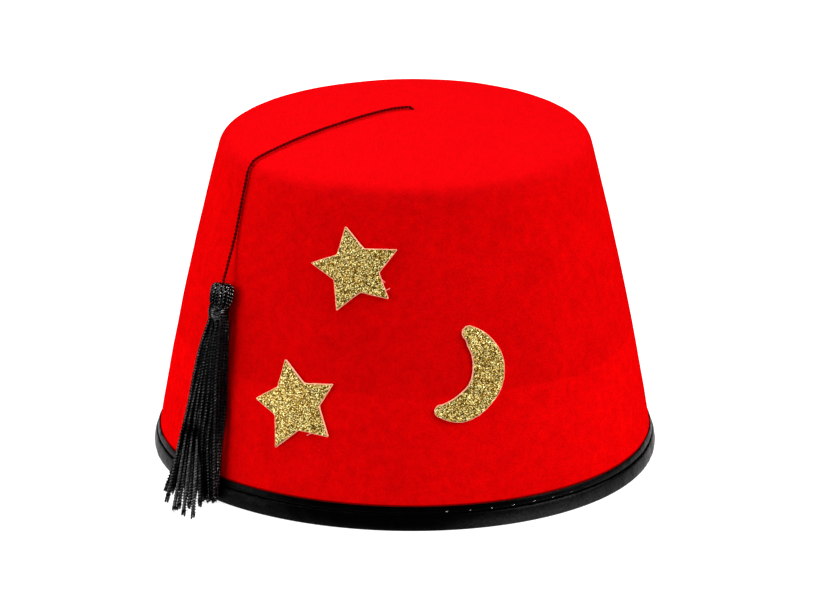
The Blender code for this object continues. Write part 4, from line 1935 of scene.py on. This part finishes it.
@dataclass
class Ornament:
    """A shape cut from glitter sheet and glued to the crown's front."""

    name: str
    outline: list[Vector]
    bearing: float
    height: float
    seed: int
    tufts: tuple = ()
    sheet: float = 1.0 * MM
    corner: float = 0.55 * MM
    slice_width: float = 1.6 * MM
    rim: float = 0.4 * MM
    rim_drop: float = 0.2 * MM
    ragged: float = 0.13 * MM  # how far the cut edge strays
    ragged_size: float = 0.9 * MM
    grain_spacing: float = 0.42 * MM
    grain_sizes: tuple = (0.16, 0.26)  # smallest and largest radius in mm
    grain_thickness: float = 0.05 * MM
    grain_tilt: float = 0.7  # largest tilt in radians
    tuft_fibre: float = 0.075 * MM

    def bent(self, flat: Vector, lift: float) -> Vector:
        """Lay a flat point, given from the ornament's centre, onto the crown's leaning side.

        Args:
            flat: The flat point, to the right and up.
            lift: Distance from the felt.

        Returns:
            The point on the finished hat.
        """
        lean = FORM.side_lean(self.height)
        slant = FORM.side_radius(self.height) / math.sin(lean)
        from_apex = Vector((flat.x, slant - flat.y))
        turn = math.atan2(from_apex.x, from_apex.y) / math.sin(lean)
        fallen = (slant - from_apex.length) * math.cos(lean)
        return FORM.over_side(self.height + fallen, self.bearing + turn, lift)

    def build(
        self,
        sheet_finish: Material,
        grain_finish: Material,
        fibre_finish: Material,
    ) -> None:
        """Cut the sheet, strew its grains, glue it on and pull its fibres.

        Args:
            sheet_finish: Finish of the sheet.
            grain_finish: Finish of the loose-standing grains.
            fibre_finish: Finish of the fibres at the cut edge.
        """
        sheet = self.cut_sheet(sheet_finish)
        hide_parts(self.name)
        grains = self.strew_grains(grain_finish)
        if self.tufts:
            self.pull_tufts(fibre_finish)

    def pull_tufts(self, material: Material) -> Piece:
        """Pull wisps of backing fibre out of the cut edge.

        Args:
            material: Finish of the fibres.

        Returns:
            The wisps as one piece.
        """
        draw = Random(self.seed + 100)
        lines = []
        for tuft in self.tufts:
            root = Vector((tuft.x, tuft.y)) * MM
            end = Vector((tuft.to_x, tuft.to_y)) * MM
            for _ in range(4):
                spread = Vector((draw.uniform(-0.3, 0.3), draw.uniform(-0.3, 0.3))) * MM
                bend = Vector((draw.uniform(-0.25, 0.25), draw.uniform(-0.25, 0.25))) * MM
                flat = [root, root.lerp(end, 0.5) + bend, end + spread]
                lifts = (0.7 * MM, draw.uniform(0.5, 0.9) * MM, draw.uniform(0.2, 0.6) * MM)
                line = smooth_line([self.bent(place, lift) for place, lift in zip(flat, lifts)], 5)
                lines.append((line, [self.tuft_fibre] * len(line)))
        maker = ThreadMaker(sides=6)
        return maker.piece(f"{self.name}_fibres", lines, Twist.SINGLE, LOOSE_PITCH, material, 60.0)

    def cut_sheet(self, material: Material) -> Piece:
        """Cut the shape, with its rounded corners and its bare, slightly crushed edge.

        Args:
            material: Finish of the sheet.

        Returns:
            The finished sheet, bent onto the felt.
        """
        shape = bmesh.new()
        edge_layer = shape.verts.layers.float.new("cut_edge")
        shape.faces.new([shape.verts.new((point.x, point.y, 0.0)) for point in self.outline])
        bmesh.ops.recalc_face_normals(shape, faces=shape.faces)
        if shape.faces[:][0].normal.z < 0.0:
            bmesh.ops.reverse_faces(shape, faces=shape.faces)
        if self.corner > 0.0:
            bmesh.ops.bevel(
                shape,
                geom=shape.verts[:],
                offset=self.corner,
                affect="VERTICES",
                segments=3,
                profile=0.5,
                material=-1,
            )
        for vert in shape.verts:
            vert[edge_layer] = 1.0
        base = shape.faces[:][0]
        raised = bmesh.ops.extrude_face_region(shape, geom=[base])
        top = [item for item in raised["geom"] if isinstance(item, bmesh.types.BMFace)]
        lifted = [item for item in raised["geom"] if isinstance(item, bmesh.types.BMVert)]
        bmesh.ops.translate(shape, verts=lifted, vec=(0.0, 0.0, self.sheet - self.rim_drop))
        bmesh.ops.inset_region(shape, faces=top, thickness=self.rim, depth=self.rim_drop)
        for vert in top[0].verts:
            vert[edge_layer] = 0.0
        bmesh.ops.triangulate(shape, faces=[face for face in shape.faces if len(face.verts) > 4])
        reach = max(point.length for point in self.outline)
        slices = math.ceil(reach / self.slice_width)
        for normal in ((1.0, 0.0, 0.0), (0.0, 1.0, 0.0)):
            for index in range(-slices, slices + 1):
                bmesh.ops.bisect_plane(
                    shape,
                    geom=shape.verts[:] + shape.edges[:] + shape.faces[:],
                    dist=0.01 * MM,
                    plane_co=Vector(normal) * self.slice_width * (index + 0.5),
                    plane_no=normal,
                )
        bmesh.ops.recalc_face_normals(shape, faces=shape.faces)
        for vert in shape.verts:
            ragged = self.ragged * vert[edge_layer] * noise.noise(vert.co / self.ragged_size)
            flat = Vector((vert.co.x + ragged, vert.co.y - ragged))
            vert.co = self.bent(flat, GAP + vert.co.z)
        return finished(f"{self.name}_sheet", shape, material, 30.0)

    def holds(self, flat: Vector) -> bool:
        """Tell whether a flat point lies within the outline.

        Args:
            flat: The point.

        Returns:
            Whether it does.
        """
        inside = False
        for start, end in zip(self.outline, self.outline[1:] + self.outline[:1]):
            if (start.y > flat.y) != (end.y > flat.y):
                crossing = start.x + (flat.y - start.y) * (end.x - start.x) / (end.y - start.y)
                inside = inside != (flat.x < crossing)
        return inside

    def edge_distance(self, flat: Vector) -> float:
        """Measure how far a flat point lies from the outline.

        Args:
            flat: The point.

        Returns:
            The distance.
        """
        nearest = 1.0
        for start, end in zip(self.outline, self.outline[1:] + self.outline[:1]):
            along = end - start
            share = min(max((flat - start).dot(along) / along.length_squared, 0.0), 1.0)
            nearest = min(nearest, (flat - start - along * share).length)
        return nearest

    def strew_grains(self, material: Material) -> Piece:
        """Strew thin six-sided grains over the sheet's face, each with its own tilt and tone.

        Args:
            material: Finish of the grains.

        Returns:
            The grains as one piece.
        """
        draw = Random(self.seed)
        shape = bmesh.new()
        tone_layer = shape.verts.layers.float.new("grain_tone")
        reach = max(point.length for point in self.outline)
        count = math.ceil(reach / self.grain_spacing)
        for row in range(-count, count + 1):
            for column in range(-count, count + 1):
                jitter = Vector((draw.uniform(-0.5, 0.5), draw.uniform(-0.5, 0.5)))
                flat = (Vector((column + 0.5 * (row % 2), row)) + jitter) * self.grain_spacing
                size = draw.uniform(*self.grain_sizes) * MM
                tilt = draw.uniform(0.0, self.grain_tilt)
                facing = draw.uniform(0.0, 2.0 * math.pi)
                tone = draw.random()
                if not self.holds(flat) or self.edge_distance(flat) < self.rim + 0.3 * size:
                    continue
                place = self.bent(flat, GAP + self.sheet + self.grain_thickness)
                out = (self.bent(flat, GAP + 2.0 * self.sheet) - place).normalized()
                turn = Vector((0.0, 0.0, 1.0)).rotation_difference(out).to_matrix().to_4x4()
                lean = Matrix.Rotation(facing, 4, "Z") @ Matrix.Rotation(tilt, 4, "X")
                made = bmesh.ops.create_cone(
                    shape,
                    cap_ends=True,
                    segments=6,
                    radius1=size,
                    radius2=size * 0.92,
                    depth=self.grain_thickness,
                    matrix=Matrix.Translation(place) @ turn @ lean,
                )
                for vert in made["verts"]:
                    vert[tone_layer] = tone
        return finished(f"{self.name}_grains", shape, material, 20.0)


def clock_point(reach: float, clock: float) -> Vector:
    """A flat point at a reach in mm and a clock angle in degrees, with 0 up and 90 to the right."""
    angle = math.radians(clock)
    return Vector((reach * math.sin(angle), reach * math.cos(angle))) * MM


def star_outline(star: tuple[StarPoint, ...]) -> list[Vector]:
    """Draw a star's corners, tip and notch in turn.

    Args:
        star: Its tips and notches, clockwise.

    Returns:
        The corners as flat points.
    """
    corners = []
    for point in star:
        corners.append(clock_point(point.tip_reach, point.tip_clock))
        corners.append(clock_point(point.notch_reach, point.notch_clock))
    return corners


def crescent_outline(rows: tuple[CrescentSection, ...]) -> list[Vector]:
    """Draw the crescent's outline.

    Args:
        rows: Its spine and half widths.

    Returns:
        Outer edge, rounded end, inner edge and rounded end, as flat points.
    """
    fine = smooth_line([Vector((row.clock, row.reach, row.half_width)) for row in rows], 3)
    outer = [clock_point(row.y + row.z, row.x) for row in fine]
    inner = [clock_point(row.y - row.z, row.x) for row in fine]

    def rounded(row: CrescentSection, first_clock: float) -> list[Vector]:
        """Draw the half circle round an end of the spine.

        Args:
            row: The spine's end.
            first_clock: Clock angle at which it starts.

        Returns:
            Its points.
        """
        middle = clock_point(row.reach, row.clock)
        swings = [180.0 * step / 8.0 for step in range(1, 8)]
        return [middle + clock_point(row.half_width, first_clock + swing) for swing in swings]

    last = rounded(rows[-1], rows[-1].clock)
    first = rounded(rows[0], rows[0].clock + 180.0)
    return outer + last + inner[::-1] + first


STAR_UPPER = (
    StarPoint(16.5, 344.0, 8.6, 20.0),
    StarPoint(17.7, 61.0, 9.2, 93.0),
    StarPoint(16.6, 127.0, 8.6, 163.0),
    StarPoint(17.0, 201.5, 9.0, 241.5),
    StarPoint(17.5, 274.0, 8.9, 305.5),
)
STAR_LOWER = (
    StarPoint(17.5, 341.5, 9.3, 19.0),
    StarPoint(17.8, 55.5, 10.0, 84.5),
    StarPoint(17.7, 124.5, 9.6, 164.0),
    StarPoint(18.7, 200.5, 9.4, 237.0),
    StarPoint(17.1, 269.0, 9.7, 306.5),
)
CRESCENT = (
    CrescentSection(34.0, 15.8, 2.8),
    CrescentSection(45.0, 15.4, 4.0),
    CrescentSection(60.0, 15.5, 4.8),
    CrescentSection(75.0, 15.7, 5.6),
    CrescentSection(90.0, 15.8, 6.1),
    CrescentSection(110.0, 15.9, 6.1),
    CrescentSection(130.0, 15.7, 5.7),
    CrescentSection(148.0, 15.7, 5.5),
    CrescentSection(165.0, 15.9, 4.9),
    CrescentSection(178.0, 15.8, 3.85),
    CrescentSection(190.0, 15.8, 2.5),
)
TUFTS_UPPER = (
    Tuft(10.1, -2.8, 11.3, -3.8),
    Tuft(10.3, -3.4, 10.9, -4.4),
    Tuft(11.6, -7.1, 13.3, -6.1),
)
TUFTS_LOWER = (Tuft(7.9, -9.6, 5.9, -10.8),)


# --- Studio ---------------------------------------------------------------------------------------


@dataclass
class Studio:
    """A white floor, soft lights and the camera."""

    floor_size: float = 8.0
    floor_colour: tuple = (0.5, 0.5, 0.5, 1.0)
    floor_glow: float = 0.9  # overexposes the floor, but throws no soft light on the hat
    white: tuple = (1.0, 1.0, 1.0, 1.0)
    air: float = 0.02  # strength of the light that comes from all round
    lens: float = 185.29
    camera_place: tuple = (0.647 * MM, -1534.94 * MM, 602.592 * MM)
    camera_dip: float = 0.3428  # how far the camera looks down, in radians

    lights: tuple = (
        StudioLight("left_low", -160.0, 12.0, 2.02, 32.0),
        StudioLight("left_back_low", 160.0, 12.0, 0.48, 32.0),
        StudioLight("left_back", 160.0, 38.0, 1.12, 32.0),
        StudioLight("left_top", 180.0, 65.0, 1.15, 40.0),
        StudioLight("back_top", 90.0, 62.0, 0.8, 40.0),
        StudioLight("right_side", 0.0, 38.0, 1.39, 32.0),
        StudioLight("right_key", -25.0, 38.0, 2.81, 32.0),
    )

    def build(self) -> None:
        """Set up the camera, the floor and the lights."""
        self.place_camera()
        self.lay_floor()
        self.fill_light()
        for light in self.lights:
            self.add_light(light)
        bpy.context.scene.view_settings.view_transform = "Standard"

    def place_camera(self) -> None:
        """Put the camera where the photograph was taken from."""
        data = bpy.data.cameras.new("camera")
        data.lens = self.lens
        data.sensor_width = 36.0
        data.clip_end = 50.0
        camera = bpy.data.objects.new("camera", data)
        camera.location = self.camera_place
        camera.rotation_euler = (math.pi / 2.0 - self.camera_dip, 0.0, 0.0)
        bpy.context.scene.collection.objects.link(camera)
        bpy.context.scene.camera = camera

    def lay_floor(self) -> None:
        """Lay a plain pale floor that fills the view."""
        shape = bmesh.new()
        bmesh.ops.create_grid(shape, x_segments=4, y_segments=4, size=self.floor_size / 2.0)
        mesh = bpy.data.meshes.new("floor")
        shape.to_mesh(mesh)
        shape.free()
        floor = bpy.data.objects.new("floor", mesh)
        bpy.context.scene.collection.objects.link(floor)
        material, bench, shader = new_finish("pale_floor")
        scattered = bench.add("ShaderNodeLightPath").outputs["Is Diffuse Ray"]
        glow = bench.stretched(scattered, 0.0, 1.0, self.floor_glow, 0.0)
        paint = {"Base Color": self.floor_colour, "Roughness": 0.95, "Specular IOR Level": 0.0}
        lit = {"Emission Color": self.white, "Emission Strength": glow}
        bench.feed_all(shader, {**paint, **lit})
        mesh.materials.append(material)

    def fill_light(self) -> None:
        """Light the scene softly from all round, and show white behind the floor."""
        world = bpy.data.worlds.new("studio_air")
        world.use_nodes = True
        bench = NodeBench(world.node_tree)
        background = world.node_tree.nodes["Background"]
        seen = bench.add("ShaderNodeLightPath").outputs["Is Camera Ray"]
        strength = bench.stretched(seen, 0.0, 1.0, self.air, 1.0)
        bench.feed_all(background, {"Color": self.white, "Strength": strength})
        bpy.context.scene.world = world

    @staticmethod
    def add_light(light: StudioLight) -> None:
        """Add one broad, distant light.

        Args:
            light: The light's place, strength and width.
        """
        data = bpy.data.lights.new(light.name, "SUN")
        data.energy = light.strength
        data.angle = math.radians(light.width)
        lamp = bpy.data.objects.new(light.name, data)
        elevation = math.radians(light.elevation)
        direction = polar(math.cos(elevation), math.radians(light.bearing), math.sin(elevation))
        lamp.rotation_mode = "QUATERNION"
        lamp.rotation_quaternion = Vector((0.0, 0.0, 1.0)).rotation_difference(direction)
        bpy.context.scene.collection.objects.link(lamp)


def report(title: str, build: Callable[[], object]) -> object:
    """Build a sub-assembly and log it.

    Args:
        title: What is built.
        build: Builds it.

    Returns:
        What build returns.
    """
    made = build()
    LOG.info("built the %s", title)
    return made


def main() -> None:
    """Build the studio and the hat, piece by piece."""
    logging.basicConfig(level=logging.INFO, format="%(message)s")
    report("studio", Studio().build)
    felt = FeltFinish().material()
    satin = SatinFinish().material()
    thread = ThreadFinish("tassel_thread", 3.4).material()
    # painted highlight: the head's thread has its gloss raised near the top
    top_glint_thread = ThreadFinish("top_glint_tassel_thread", 2.6, folded=True).material()
    # painted reflection: the cord's black thread is tinted dark red for the red felt that it
    # reflects
    cord_thread = ThreadFinish("cord_thread", 0.08, (0.07, 0.0005, 0.0005)).material()
    sewing_thread = ThreadFinish("sewing_thread", 1.0, (0.004, 0.004, 0.004)).material()
    # painted glint: a lighter and far glossier copy of the sewing thread, for the raised stitches
    painted_glint_thread = ThreadFinish("painted_glint_sewing_thread", 16.0, (0.02, 0.02, 0.02)).material()
    sheet = GlitterSheetFinish().material()
    grains = GlitterFlakeFinish().material()
    fibres = BackingFibreFinish().material()
    crown = FeltCrown()
    place = TasselPlace()
    binding = SatinBinding()
    report("cord and its knot", lambda: HangingCord(crown, place).build(cord_thread))
    report("felt crown", lambda: crown.build(felt))
    report("satin binding", lambda: binding.build(satin))
    report("stitches", lambda: binding.stitches("binding_stitches", sewing_thread, False))
    report("raised stitches", lambda: binding.stitches("raised_stitches", painted_glint_thread, True))
    report("tassel", lambda: Tassel(place).build(thread, top_glint_thread))
    upper, lower = star_outline(STAR_UPPER), star_outline(STAR_LOWER)
    moon = crescent_outline(CRESCENT)
    ornaments = (
        Ornament("star_upper", upper, math.radians(-104.1), 95.8 * MM, 21, TUFTS_UPPER),
        Ornament("star_lower", lower, math.radians(-117.7), 43.8 * MM, 22, TUFTS_LOWER),
        Ornament("crescent", moon, math.radians(-80.0), 60.0 * MM, 23, corner=0.0),
    )
    for ornament in ornaments:
        report(ornament.name, lambda piece=ornament: piece.build(sheet, grains, fibres))


if __name__ == "__main__":
    main()
